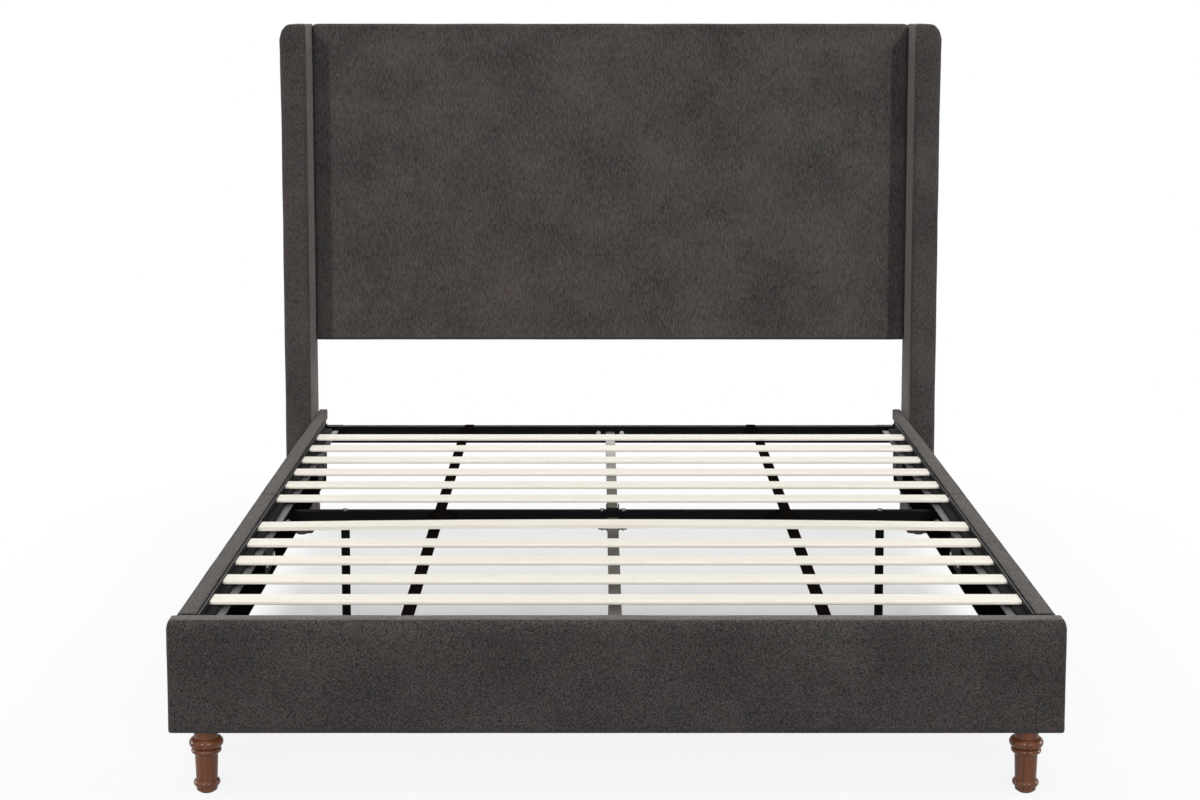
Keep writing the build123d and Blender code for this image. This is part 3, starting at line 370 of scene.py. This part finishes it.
def wovenWebbing(name):
    paint = Paint(name)
    place = paint.millimetres()
    x, y, z = paint.split(place)
    zigzag = (x * (math.pi / webbingLook["zigzagWide"])).wave() * webbingLook["zigzagTall"]
    chevron = ((y + zigzag) * (math.pi / webbingLook["chevron"])).wave().sized()
    cords = (x * (math.pi / webbingLook["cord"])).wave().sized()
    fuzz = paint.cloud(place, 0.8, 3, 0.7)
    tone = (chevron * 0.35 + cords * 0.2 + fuzz * 0.5 - 0.1).kept()
    return paint.finished(
        {"Base Color": paint.blend(tone, *webbingLook["tones"]),
         "Roughness": 0.8 + 0.1 * fuzz,
         "Normal": paint.bump(chevron * 0.7 + cords * 0.5 + fuzz * 0.2, 0.0004, 0.8)},
        {"Specular IOR Level": 0.0})


rubberLook = {"rib": 2.6, "tones": ((0.004, 0.004, 0.004), (0.011, 0.0105, 0.0105))}


def rubberStrip(name):
    paint = Paint(name)
    place = paint.millimetres()
    x, y, z = paint.split(place)
    ribs = (x * (math.pi / rubberLook["rib"])).wave().sized()
    dust = paint.cloud(place, 0.25, 4, 0.65)
    return paint.finished(
        {"Base Color": paint.blend(dust, *rubberLook["tones"]),
         "Roughness": 0.75 + 0.15 * dust,
         "Normal": paint.bump(ribs * 0.8 + dust * 0.2, 0.0004, 0.6)},
        {"Specular IOR Level": 0.05})


looks = {
    "ledgeSteel": ledgeSteel("ledgeSteel"),
    "boltSteel": boltSteel("boltSteel"),
    "blackNylon": mouldedNylon("blackNylon"),
    "footNylon": levellingFoot("footNylon"),
    "webbing": wovenWebbing("webbing"),
    "rubber": rubberStrip("rubber"),
}
for kinds, mixed in ((clothKinds, upholsteryCloth), (liningKinds, pressedLining),
                     (woodKinds, sawnWood), (steelKinds, coatedSteel)):
    for name in kinds:
        looks[name] = mixed(name)
print("finishes mixed:", len(looks))

railHalves = ["side_rail_%s_%s" % (side, half) for side in ("left", "right") for half in ("front", "rear")]
nodeLooks = {
    # the rail frames take the near-black lining, darkened as painted shade
    "blackLining": [half + "_frame" for half in railHalves],
    "pine": ["headboard_frame", "footboard_frame", "wing_left_frame", "wing_right_frame"],
    "plywood": ["headboard_board"],
    "slatWood": ["slat_%02d" % number for number in range(1, 12)],
    "legWood": ["front_leg_left", "front_leg_right"],
    "blackSteel": ["mid_cross_rail", "rear_cross_rail", "support_leg_left", "support_leg_right",
                   "support_leg_centre", "rail_joint_brackets", "footboard_corner_brackets",
                   "headboard_corner_brackets", "centre_rail_brackets"],
    "ledgeSteel": [half + "_angle" for half in railHalves],
    "railSteel": ["centre_rail_front", "centre_rail_rear"],
    "boltSteel": ["rail_bolts"],
    "zincSteel": ["wing_bolts", "wing_insert_nuts", "leg_insert_nuts", "leg_hanger_bolts", "support_leg_bolts"],
    "blackNylon": ["leg_glides", "wing_glides"],
    "footNylon": ["levelling_foot_left", "levelling_foot_right", "levelling_foot_centre"],
}

for look, names in nodeLooks.items():
    for name in names:
        for place in nodes[name].material_slots:
            place.material = looks[look]
        if not nodes[name].material_slots:
            nodes[name].data.materials.append(looks[look])
print("frame pieces painted")


# padded shells: a box of small faces whose edges are rounded and whose sides swell
def spread(low, high, margin, fine, coarse, also=()):  # fine steps near both ends, coarse ones between
    margin = min(margin, (high - low) / 2)
    ends = max(1, round(margin / fine))
    middle = max(1, round((high - low - 2 * margin) / coarse))
    points = [low + margin * n / ends for n in range(ends)]
    points += [low + margin + (high - low - 2 * margin) * n / middle for n in range(middle)]
    points += [high - margin + margin * n / ends for n in range(ends + 1)]
    return sorted(set(round(p, 6) for p in points) | set(also))


def roundedPoint(point, low, high, radii):  # radii: at the low and high end of x, y and z
    core, push = list(point), [0.0, 0.0, 0.0]
    for axis in range(3):
        for end, side in ((low[axis], -1), (high[axis], 1)):
            radius = radii[axis][0 if side < 0 else 1]
            inside = end - side * radius
            if radius and (point[axis] - inside) * side > 0:
                core[axis] = inside
                push[axis] = (point[axis] - inside) / radius
    length = math.sqrt(sum(p * p for p in push))
    if length < 1e-9:
        return Vector(point)
    most = max(abs(p) for p in push)
    out = []
    for axis in range(3):
        radius = radii[axis][0 if push[axis] < 0 else 1]
        out.append(core[axis] + push[axis] / length * most * radius)
    return Vector(out)


def meshPiece(name, points, faces, look, smooth=True):
    mesh = bpy.data.meshes.new(name)
    mesh.from_pydata([tuple(p) for p in points], [], faces)
    mesh.validate()
    mesh.update()
    if smooth:
        mesh.shade_smooth()
    mesh.materials.append(looks[look])
    piece = bpy.data.objects.new(name, mesh)
    bpy.context.scene.collection.objects.link(piece)
    return piece


def paddedShell(name, low, high, pad, radii, look, keep=None, shape=None, flip=False, also=((), (), ())):
    lines = [spread(low[n], high[n], *pad["mesh"][n], also=also[n]) for n in range(3)]
    index, points, faces = {}, [], []

    def corner(i, j, k):
        if (i, j, k) not in index:
            start = Vector((lines[0][i], lines[1][j], lines[2][k]))
            point = roundedPoint(start, low, high, radii)
            if shape:
                point = shape(point, start)
            index[i, j, k] = len(points)
            points.append(Vector((-point.x, point.y, point.z)) if flip else point)
        return index[i, j, k]

    for axis in range(3):
        b, c = (axis + 1) % 3, (axis + 2) % 3
        for side in (0, 1):
            at = len(lines[axis]) - 1 if side else 0
            for m in range(len(lines[b]) - 1):
                for n in range(len(lines[c]) - 1):
                    middle = [0, 0, 0]
                    middle[axis] = lines[axis][at]
                    middle[b] = (lines[b][m] + lines[b][m + 1]) / 2
                    middle[c] = (lines[c][n] + lines[c][n + 1]) / 2
                    if keep and not keep(axis, side, middle):
                        continue
                    ring = []
                    for dm, dn in ((0, 0), (1, 0), (1, 1), (0, 1)):
                        spot = [0, 0, 0]
                        spot[axis], spot[b], spot[c] = at, m + dm, n + dn
                        ring.append(corner(*spot))
                    if (side == 0) != flip:
                        ring.reverse()
                    faces.append(ring)
    return meshPiece(name, points, faces, look)


def waver(point, size, seed):  # slow unevenness of padding under cloth
    return noise.noise(Vector((point.x / size + seed, point.y / size, point.z / size)))


def dome(share):  # 1 in the middle, 0 at the edges
    return max(0.0, 1 - abs(share) ** 3)


def between(value, low, high):  # -1 at low, 1 at high
    return (value - low) / (high - low) * 2 - 1


def cutCorner(distanceA, distanceB, radiusA, radiusB, power=2.0):
    # squeezes a square corner onto a soft one; distances are from the two sides
    u, v = 1 - distanceA / radiusA, 1 - distanceB / radiusB
    if u <= 0 or v <= 0:
        return distanceA, distanceB
    scale = max(u, v) / (u ** power + v ** power) ** (1 / power)
    return (1 - u * scale) * radiusA, (1 - v * scale) * radiusB


def padBox(pad):  # lowest and highest corner of a pad that is as wide to the left as to the right
    return (-pad["half"], pad["front"], pad["low"]), (pad["half"], pad["back"], pad["high"])


def softEdge(point, pad, axis, sign, wide, deep, power=2.0):
    # rounds the long edge between one side of a pad and its front
    low, high = padBox(pad)
    side = high[axis] if sign > 0 else low[axis]
    out, near = cutCorner(sign * (side - point[axis]), point.y - low[1], wide, deep, power)
    point[axis], point.y = side - sign * out, low[1] + near


def hemmedBack(pad):  # the cloth ends on the back of the pad, one hem from its edges
    hem = pad["hem"]

    def keep(axis, side, m):
        bare = abs(m[0]) < pad["half"] - hem and pad["low"] + hem < m[2] < pad["high"] - hem
        return not (axis == 1 and side == 1 and bare)
    return keep


stuffing = {"pressure": 3.0, "frames": 20, "sink": 0.0002}  # sink: the most that a point may go inwards


def puff(piece, held, most):
    # cloth simulation of the cover over its padding; no vertex moves further than most
    rest = [v.co.copy() for v in piece.data.vertices]
    away = [v.normal.copy() for v in piece.data.vertices]
    group = piece.vertex_groups.new(name="held")
    for v in piece.data.vertices:
        if held(v.co):
            group.add([v.index], 1.0, "REPLACE")
    cloth = piece.modifiers.new("cover", "CLOTH")
    cloth.settings.quality = 5
    cloth.settings.mass = 0.3
    cloth.settings.tension_stiffness = 30
    cloth.settings.compression_stiffness = 30
    cloth.settings.shear_stiffness = 12
    cloth.settings.bending_stiffness = 1.5
    cloth.settings.air_damping = 2
    cloth.settings.use_pressure = True
    cloth.settings.uniform_pressure_force = stuffing["pressure"]
    cloth.settings.vertex_group_mass = "held"
    cloth.settings.effector_weights.gravity = 0
    cloth.collision_settings.use_collision = False
    cloth.point_cache.frame_start, cloth.point_cache.frame_end = 1, stuffing["frames"]
    scene = bpy.context.scene
    for number in range(1, stuffing["frames"] + 1):
        scene.frame_set(number)
    shaped = piece.evaluated_get(bpy.context.evaluated_depsgraph_get())
    moved = [v.co.copy() for v in shaped.data.vertices]
    piece.modifiers.remove(cloth)
    piece.vertex_groups.remove(group)
    for v, before, after, normal in zip(piece.data.vertices, rest, moved, away):
        step = after - before
        step -= normal * min(0.0, step.dot(normal) + stuffing["sink"])
        if step.length > most:
            step *= most / step.length
        v.co = before + step
    piece.data.update()
    scene.frame_set(1)
    reach = max((v.co - before).dot(normal) for v, before, normal in zip(piece.data.vertices, rest, away))
    print("  %s swelled by up to %.1f mm" % (piece.name, reach * 1000))


# headboard: thin foam over a board, cloth turned onto the back
headboard = {
    "half": 0.8155, "front": 1.0297, "back": 1.0752, "low": 0.527, "high": 1.399, "hem": 0.035,
    "mesh": ((0.04, 0.004, 0.0125), (0.012, 0.003, 0.008), (0.03, 0.004, 0.0125)),
    "round": ((0.003, 0.003), (0.0, 0.003), (0.003, 0.003)),
    "sideRoll": (0.018, 0.011), "edgeRoll": (0.006, 0.011),    # over the side and into the front
    "topCorner": (0.018, 0.0065),
    "crown": 0.0028, "uneven": 0.0006, "unevenTop": 0.0007,
    "heldFrom": 0.02, "puff": 0.004,                           # the cloth is tight behind the front
}


def headboardShape(point, start):
    side = 1 if point.x > 0 else -1
    softEdge(point, headboard, 0, side, *headboard["sideRoll"])
    softEdge(point, headboard, 2, 1 if point.z > 1 else -1, *headboard["edgeRoll"])
    out, top = cutCorner(headboard["half"] - abs(point.x), headboard["high"] - point.z, *headboard["topCorner"])
    point.x, point.z = side * (headboard["half"] - out), headboard["high"] - top
    across = point.x / headboard["half"]
    up = between(point.z, headboard["low"], headboard["high"])
    front = (headboard["back"] - point.y) / (headboard["back"] - headboard["front"])
    swell = headboard["crown"] * dome(across) * dome(up) * front
    edge = min(1.0, (1 - abs(up)) * 6, (1 - abs(across)) * 10)
    point.y -= swell + headboard["uneven"] * waver(point, 0.16, 3.1) * max(0, edge)
    point.z += headboard["unevenTop"] * waver(point, 0.09, 8.4) * (1 if up > 0.9 else 0.3 if up < -0.9 else 0)
    return point


headboardPad = paddedShell("headboardPad", *padBox(headboard), headboard, headboard["round"], "panelCloth",
                           keep=hemmedBack(headboard), shape=headboardShape)
puff(headboardPad, lambda p: p.y > headboard["front"] + headboard["heldFrom"], headboard["puff"])
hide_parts("headboard_cover")
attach(headboardPad, "frame")
print("headboard covered")

# wings: tall padded sides with a soft outer top corner
wing = {
    "inner": 0.8165, "outer": 0.885, "front": 0.9117, "back": 1.0767, "low": 0.007, "high": 1.399, "hem": 0.02,
    "mesh": ((0.032, 0.0022, 0.006), (0.02, 0.003, 0.011), (0.044, 0.0025, 0.013)),
    "round": ((0.007, 0.009), (0.008, 0.005), (0.003, 0.009)),
    "topCorner": (0.029, 0.036),
    "frontSwell": 0.0022, "outerSwell": 0.0016, "innerSwell": 0.0004, "uneven": 0.0006,
    "heldBack": 1.02, "heldLow": 0.03, "heldInner": 0.8195, "puff": 0.003,
}


def wingShape(point, start):
    outer, top = cutCorner(wing["outer"] - point.x, wing["high"] - point.z, *wing["topCorner"])
    point.x, point.z = wing["outer"] - outer, wing["high"] - top
    across = between(point.x, wing["inner"], wing["outer"])
    deep = between(point.y, wing["front"], wing["back"])
    point.y -= wing["frontSwell"] * dome(across) * max(0, -deep)
    point.x += (wing["outerSwell"] * dome(deep) * max(0, across)
                - wing["innerSwell"] * dome(deep) * max(0, -across))
    point.x += wing["uneven"] * waver(point, 0.11, 1.7) * max(0, across)
    point.y += wing["uneven"] * waver(point, 0.13, 5.2) * max(0, -deep)
    return point


def wingUnderside(axis, end, m):  # open below, inside the hem
    hem = wing["hem"]
    bare = (wing["inner"] + hem < m[0] < wing["outer"] - hem
            and wing["front"] + hem < m[1] < wing["back"] - hem)
    return not (axis == 2 and end == 0 and bare)


def wingHeld(p):
    return p.y > wing["heldBack"] or p.z < wing["heldLow"] or abs(p.x) < wing["heldInner"]


for side in ("right", "left"):
    cover = paddedShell(
        side + "WingPad", (wing["inner"], wing["front"], wing["low"]), (wing["outer"], wing["back"], wing["high"]),
        wing, wing["round"], "wingCloth", keep=wingUnderside, shape=wingShape, flip=side == "left")
    puff(cover, wingHeld, wing["puff"])
    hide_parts("wing_%s_cover" % side)
    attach(cover, "frame")
print("wings covered")

# footboard: low padded front with a soft crest
footboard = {
    "half": 0.8225, "front": -1.0733, "back": -1.0228, "low": 0.118, "high": 0.328, "hem": 0.012,
    "mesh": ((0.03, 0.003, 0.0125), (0.024, 0.002, 0.006), (0.042, 0.0025, 0.010)),
    "round": ((0.006, 0.006), (0.0, 0.004), (0.004, 0.0085)),
    "crestRoll": (0.038, 0.022, 2.5), "lowerRoll": (0.004, 0.006), "endRoll": (0.006, 0.007),
    "crown": 0.0024, "uneven": 0.0006,
    "heldBack": -1.045, "heldLow": 0.125, "puff": 0.003,
}


def footboardShape(point, start):
    softEdge(point, footboard, 2, 1, *footboard["crestRoll"])
    softEdge(point, footboard, 2, -1, *footboard["lowerRoll"])
    softEdge(point, footboard, 0, 1 if point.x > 0 else -1, *footboard["endRoll"])
    across = point.x / footboard["half"]
    up = between(point.z, footboard["low"], footboard["high"])
    front = (footboard["back"] - point.y) / (footboard["back"] - footboard["front"])
    point.y -= (footboard["crown"] * dome(across) * dome(up) + footboard["uneven"] * waver(point, 0.12, 6.6)) * front
    point.z += footboard["uneven"] * waver(point, 0.1, 2.9) * (1 if up > 0.8 else 0.2)
    return point


footboardPad = paddedShell("footboardPad", *padBox(footboard), footboard, footboard["round"], "footCloth",
                           keep=hemmedBack(footboard), shape=footboardShape)
puff(footboardPad, lambda p: p.y > footboard["heldBack"] or p.z < footboard["heldLow"], footboard["puff"])
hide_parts("footboard_cover")
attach(footboardPad, "frame")
print("footboard covered")

# side rails: a cover round the top, the outer face and the lower edge of each board
rail = {
    "inner": 0.775, "board": 0.795, "outer": 0.815, "low": 0.125, "high": 0.328, "thick": 0.0021,
    "spans": {"front": (-1.0213, -0.0236), "rear": (-0.0230, 1.0527)},
    "mesh": ((0.018, 0.002, 0.004), (0.03, 0.003, 0.0125), (0.014, 0.002, 0.010)),
    "endRound": {"front": (0.001, 0.0045), "rear": (0.0045, 0.011)},
    "innerRound": (0.003, 0.007), "edgeRound": (0.004, 0.003),
    "roll": (0.013, 0.009),                                    # outer top edge
    "lip": 0.302, "endLip": 0.29,                              # how far the cloth comes down inside
    "battenRear": 0.8517, "taper": 0.0135, "taperLong": 0.15,  # behind the batten the cover thins out
    "swell": 0.0018, "uneven": 0.0008, "bow": 0.0016,
    "crest": 0.0014, "crestFrom": 0.3, "crestTall": 0.028,
    "pleat": 0.0012, "pleatTurn": 95,
}


def railCover(side, half):
    start, end = rail["spans"][half]

    def keep(axis, edge, m):
        overBracket = m[1] > rail["battenRear"] and m[2] > rail["lip"]
        if axis == 0 and edge == 0:
            return overBracket
        if axis == 2:
            return edge == 1 or m[0] > rail["board"]
        if axis == 1 and m[0] < rail["board"]:
            return overBracket or (edge == 0) != (half == "front") and m[2] > rail["endLip"]
        return True

    def shape(point, first):
        outer, top = cutCorner(rail["outer"] - point.x, rail["high"] - point.z, *rail["roll"])
        point.x, point.z = rail["outer"] - outer, rail["high"] - top
        swell = dome(between(point.z, rail["low"], rail["high"]))
        outward = max(0.0, (point.x - rail["board"]) / (rail["outer"] - rail["board"]))
        point.x += outward * (rail["swell"] * swell + rail["uneven"] * waver(point, 0.12, 4.4)
                              + rail["bow"] * waver(point, 0.42, 1.2))
        upward = max(0.0, (point.z - rail["crestFrom"]) / rail["crestTall"])
        crest = dome(between(point.x, rail["inner"], rail["outer"]))
        point.z += upward * (rail["crest"] * crest + rail["uneven"] * waver(point, 0.07, 7.7))
        past = min(1.0, max(0.0, (first.y - rail["battenRear"]) / rail["taperLong"]))
        if past and first.z > rail["lip"] - 0.001:
            inward = 1 - (first.x - rail["inner"]) / (rail["outer"] - rail["inner"])
            point.x += rail["taper"] * past * inward
            point.x -= rail["pleat"] * inward * math.sin((first.y - rail["battenRear"]) * rail["pleatTurn"]) * past
        return point

    piece = paddedShell(
        "%sRail%sCover" % (side, half.capitalize()),
        (rail["inner"], start, rail["low"]), (rail["outer"], end, rail["high"]), rail,
        (rail["innerRound"], rail["endRound"][half], rail["edgeRound"]),
        "railCloth", keep=keep, shape=shape, flip=side == "left",
        also=((rail["board"],), (rail["battenRear"],) if half == "rear" else (), (rail["lip"],)))
    thick = piece.modifiers.new("thickness", "SOLIDIFY")
    thick.thickness, thick.offset = rail["thick"], -1
    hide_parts("side_rail_%s_%s_cover" % (side, half))
    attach(piece, "frame")


for side in ("right", "left"):
    for half in ("front", "rear"):
        railCover(side, half)
print("side rails covered")

# sheets: the cloth tacked over the back of the headboard and the lining of the footboard
liningSheetCut = {"grid": 0.02, "slackFrom": 0.06, "wave": 0.15}


def liningSheet(name, low, high, seed, dip):
    wide, tall = high[0] - low[0], high[2] - low[2]
    columns, rows = round(wide / liningSheetCut["grid"]), round(tall / liningSheetCut["grid"])
    points, faces = [], []
    for row in range(rows + 1):
        for column in range(columns + 1):
            x, z = low[0] + wide * column / columns, low[2] + tall * row / rows
            edge = min(x - low[0], high[0] - x, z - low[2], high[2] - z)
            slack = min(1.0, edge / liningSheetCut["slackFrom"])
            loose = dip * slack * (0.5 + 0.5 * waver(Vector((x, 0, z)), liningSheetCut["wave"], seed))
            points.append((x, (low[1] + high[1]) / 2 + loose, z))
    for row in range(rows):
        for column in range(columns):
            a = row * (columns + 1) + column
            faces.append([a + columns + 1, a + columns + 2, a + 1, a])
    return meshPiece(name, points, faces, "backLining")


backSheet = liningSheet("backCloth", (-0.8127, 1.0752, 0.5297), (0.8127, 1.0767, 1.3963), 2.2, 0.0007)
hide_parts("headboard_back_cloth")
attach(backSheet, "frame")
footSheet = liningSheet("footLining", (-0.8165, -1.0228, 0.122), (0.8165, -1.0213, 0.319), 5.5, 0.0004)
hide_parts("footboard_lining")
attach(footSheet, "frame")
print("linings laid")

# webbing under the slats; line is y and z from the footboard to the rear cross rail
strap = {
    "x": 0.39, "wide": 0.025, "thick": 0.0013, "step": 0.012,
    "columns": (-1, -0.92, 0, 0.92, 1), "thinEdge": 0.55,
    "line": [(-1.0206, 0.2835), (-1.0206, 0.3095), (-1.0180, 0.3121), (-0.6, 0.3118), (0.0, 0.3117),
             (0.66, 0.3121), (0.705, 0.3115), (0.985, 0.2925), (0.9925, 0.2919), (1.0105, 0.2919)],
}

# wire staples that hold the linings and the ends of the straps
staple = {
    "crown": 0.0106, "wire": 0.00055, "wide": 0.0007, "deep": 0.001, "every": 0.05, "tilt": 0.14,
    "backRing": ((-0.805, 0.5375), (0.805, 1.3885)), "backFace": 1.07605,
    "liningRing": ((-0.74, 0.1285), (0.74, 0.3125)), "liningFace": -1.02195,
    "strapHeights": (0.2875, 0.2955), "strapFace": -1.01995, "strapClear": 0.02,
}


def staples(name, places):  # each place is a middle on the cloth and the crown's lean; all of them face +y
    half, wire, deep = staple["crown"] / 2, staple["wire"], staple["deep"]
    outer = [(-half, -deep), (-half, wire * 0.5), (-half + wire * 0.5, wire)]
    inner = [(-half + wire, -deep), (-half + wire, -wire * 0.2), (-half + wire * 1.3, 0)]
    bent = [line + [(-run, out) for run, out in reversed(line)] for line in (outer, inner)]
    size = len(bent[0])
    points, faces = [], []
    for middle, tilt in places:
        lean = tilt + staple["tilt"] * waver(middle, 0.03, 9.3)
        along = Vector((math.cos(lean), 0, math.sin(lean)))
        across = Vector((-along.z, 0, along.x)) * staple["wide"] / 2
        start = len(points)
        for line in bent:
            for edge in (-1, 1):
                points += [middle + along * run + Vector((0, out, 0)) + across * edge for run, out in line]
        for n in range(size - 1):
            a, b, c, d = (start + size * row + n for row in range(4))
            faces += [[a, a + 1, b + 1, b], [c, d, d + 1, c + 1], [a, c, c + 1, a + 1], [b, b + 1, d + 1, d]]
    piece = meshPiece(name, points, faces, "zincSteel", smooth=False)
    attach(piece, "frame")


def stapleRing(low, high, uprights=True):
    wide, tall = high[0] - low[0], high[1] - low[1]
    across, up = round(wide / staple["every"]), round(tall / staple["every"])
    ring = [(low[0] + wide * (n + 0.5) / across, edge, 0.0) for n in range(across) for edge in (low[1], high[1])]
    if uprights:
        ring += [(edge, low[1] + tall * (n + 0.5) / up, math.pi / 2) for n in range(up) for edge in (low[0], high[0])]
    return ring


backRing = stapleRing(*staple["backRing"])
liningRing = [place for place in stapleRing(*staple["liningRing"], uprights=False)
              if abs(abs(place[0]) - strap["x"]) > staple["strapClear"]]
staples("backStaples", [(Vector((x, staple["backFace"], z)), tilt) for x, z, tilt in backRing])
staples("footStaples", [(Vector((x, staple["liningFace"], z)), tilt) for x, z, tilt in liningRing])
staples("strapStaples", [(Vector((side * strap["x"], staple["strapFace"], z)), 0.0)
                         for side in (-1, 1) for z in staple["strapHeights"]])
print("staples driven")

for side in (-1, 1):
    path, points, faces = [], [], []
    for (y0, z0), (y1, z1) in zip(strap["line"], strap["line"][1:]):
        parts = max(1, round(math.hypot(y1 - y0, z1 - z0) / strap["step"]))
        path += [(y0 + (y1 - y0) * n / parts, z0 + (z1 - z0) * n / parts) for n in range(parts)]
    path.append(strap["line"][-1])
    for number, (y, z) in enumerate(path):
        before, after = path[max(0, number - 1)], path[min(len(path) - 1, number + 1)]
        away = Vector((0, -(after[1] - before[1]), after[0] - before[0])).normalized()
        for share in strap["columns"]:
            thin = strap["thick"] / 2 * (strap["thinEdge"] if abs(share) == 1 else 1)
            for face in (1, -1):
                middle = Vector((side * strap["x"] + share * strap["wide"] / 2, y, z))
                points.append(middle + away * thin * face)
    count = 2 * len(strap["columns"])
    for number in range(len(path) - 1):
        a, b = number * count, (number + 1) * count
        for top in range(0, count - 2, 2):
            low = top + 1
            faces.append([a + top, a + top + 2, b + top + 2, b + top])
            faces.append([b + low, b + low + 2, a + low + 2, a + low])
        faces.append([a, b, b + 1, a + 1])
        faces.append([a + count - 2, a + count - 1, b + count - 1, b + count - 2])
    tape = meshPiece("slatStrap" + ("Right" if side > 0 else "Left"), points, faces, "webbing")
    if side > 0:
        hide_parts("slat_straps")
    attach(tape, "frame")

# rubber strips on the ledges
ledgeStrip = {
    "inner": 0.751, "outer": 0.772, "low": 0.3065, "high": 0.313,
    "spans": {"Front": (-1.0133, -0.0283), "Rear": (-0.0183, 0.8467)},
    "mesh": ((0.003, 0.001, 0.005), (0.004, 0.001, 0.02), (0.002, 0.001, 0.002)),
    "round": ((0.0015, 0.0015), (0.0015, 0.0015), (0.0005, 0.0015)),
}

for side in (-1, 1):
    for half, (start, end) in ledgeStrip["spans"].items():
        strip = paddedShell(
            "ledgeStrip%s%s" % ("Right" if side > 0 else "Left", half),
            (ledgeStrip["inner"], start, ledgeStrip["low"]), (ledgeStrip["outer"], end, ledgeStrip["high"]),
            ledgeStrip, ledgeStrip["round"], "rubber", flip=side < 0)
        if side > 0 and half == "Front":
            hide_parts("ledge_pads")
        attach(strip, "frame")
print("webbing and strips laid")

# floor, light and camera
light = {
    "sky": 0.05,
    "lamps": {                # strength, tilt from straight down, turn round the bed, spread in degrees
        "topLight": (1.2, 0, 0, 50),
        "leftFrontLight": (1.3, 62, -23.5, 4),
        "rightFrontLight": (1.5, 62, 23.5, 4),
        "leftLight": (1.3, 80, -105, 20),
        "rightLight": (1.3, 80, 105, 20),
        "backLight": (1.0, 70, 180, 40),
    },
}

# how much of the floor is plain white; the rest of it is matt and takes shadows. Under the bed less of it is white: a
# painted shadow, deepest a little behind the middle of the bed
floorTone = {
    "bed": (0.76, 1.0),       # half width and half length of the painted shadow under the bed
    "edge": (-0.01, 0.12),    # metres past the bed over which that painted shadow ends
    "round": 0.935,
    "far": (0.1, 0.9, 0.0, 0.065),
    # how the painted shadow under the bed deepens from the foot and lightens again towards the head
    "front": (-0.75, 0.1, 0.88, 0.45),
    "rear": (0.1, 0.55, 0.0, 0.28),
    "matt": ((0.30, 0.30, 0.30), (0.33, 0.33, 0.33)),
    "size": 30,
}


def floorLook():
    paint = Paint("studioFloor")
    place = paint.place()
    x, y, z = paint.split(place)
    wide, long = floorTone["bed"]
    away = ((x.sized() - wide).most(0.0) ** 2.0 + (y.sized() - long).most(0.0) ** 2.0) ** 0.5
    # painted shadow: less of the floor is white under the bed, least near its middle
    paintedShadeUnderBed = paint.fade(y, *floorTone["front"]) + paint.fade(y, *floorTone["rear"])
    around = floorTone["round"] + paint.fade(away, *floorTone["far"])
    own = paintedShadeUnderBed + (around - paintedShadeUnderBed) * paint.fade(away, *floorTone["edge"])
    matt = paint.node("ShaderNodeBsdfPrincipled", {}, {
        "Base Color": paint.blend(paint.cloud(place, 3.0, 3), *floorTone["matt"]),
        "Roughness": 0.8, "Specular IOR Level": 0.1})
    white = paint.node("ShaderNodeEmission", {}, {"Strength": 1.0})
    return paint.close(paint.node("ShaderNodeMixShader", {}, {0: paint.seenStraight() * own, 1: matt, 2: white}))


looks["studioFloor"] = floorLook()
corners = [(-1, -1), (1, -1), (1, 1), (-1, 1)]
floor = meshPiece("studioFloorSheet", [(x * floorTone["size"], y * floorTone["size"], 0) for x, y in corners],
                  [(0, 1, 2, 3)], "studioFloor", smooth=False)

air = Paint("studioAir", bpy.data.worlds.new("studioAir"))
bpy.context.scene.world = air.material
strength = light["sky"] + (1 - light["sky"]) * air.seenStraight()
air.close(air.node("ShaderNodeBackground", {}, {"Color": (1, 1, 1, 1), "Strength": strength}),
          "ShaderNodeOutputWorld")

for name, (power, tilt, turn, softness) in light["lamps"].items():
    lamp = bpy.data.lights.new(name, "SUN")
    lamp.energy, lamp.angle = power, math.radians(softness)
    holder = bpy.data.objects.new(name, lamp)
    holder.rotation_euler = (math.radians(tilt), 0, math.radians(turn))
    bpy.context.scene.collection.objects.link(holder)

camera = {
    "place": (-0.034275, -4.927798, 1.435644), "pitch": 0.1127,
    "lens": 65.1309, "sensor": 36, "shift": (0.0019, -0.12), "farthest": 200,
}
lens = bpy.data.cameras.new("photoCamera")
lens.lens, lens.sensor_width = camera["lens"], camera["sensor"]
lens.shift_x, lens.shift_y = camera["shift"]
lens.clip_end = camera["farthest"]
viewer = bpy.data.objects.new("photoCamera", lens)
viewer.location = camera["place"]
viewer.rotation_euler = (math.pi / 2 - camera["pitch"], 0, 0)
bpy.context.scene.collection.objects.link(viewer)
bpy.context.scene.camera = viewer
bpy.context.scene.view_settings.view_transform = "Standard"
print("studio set")
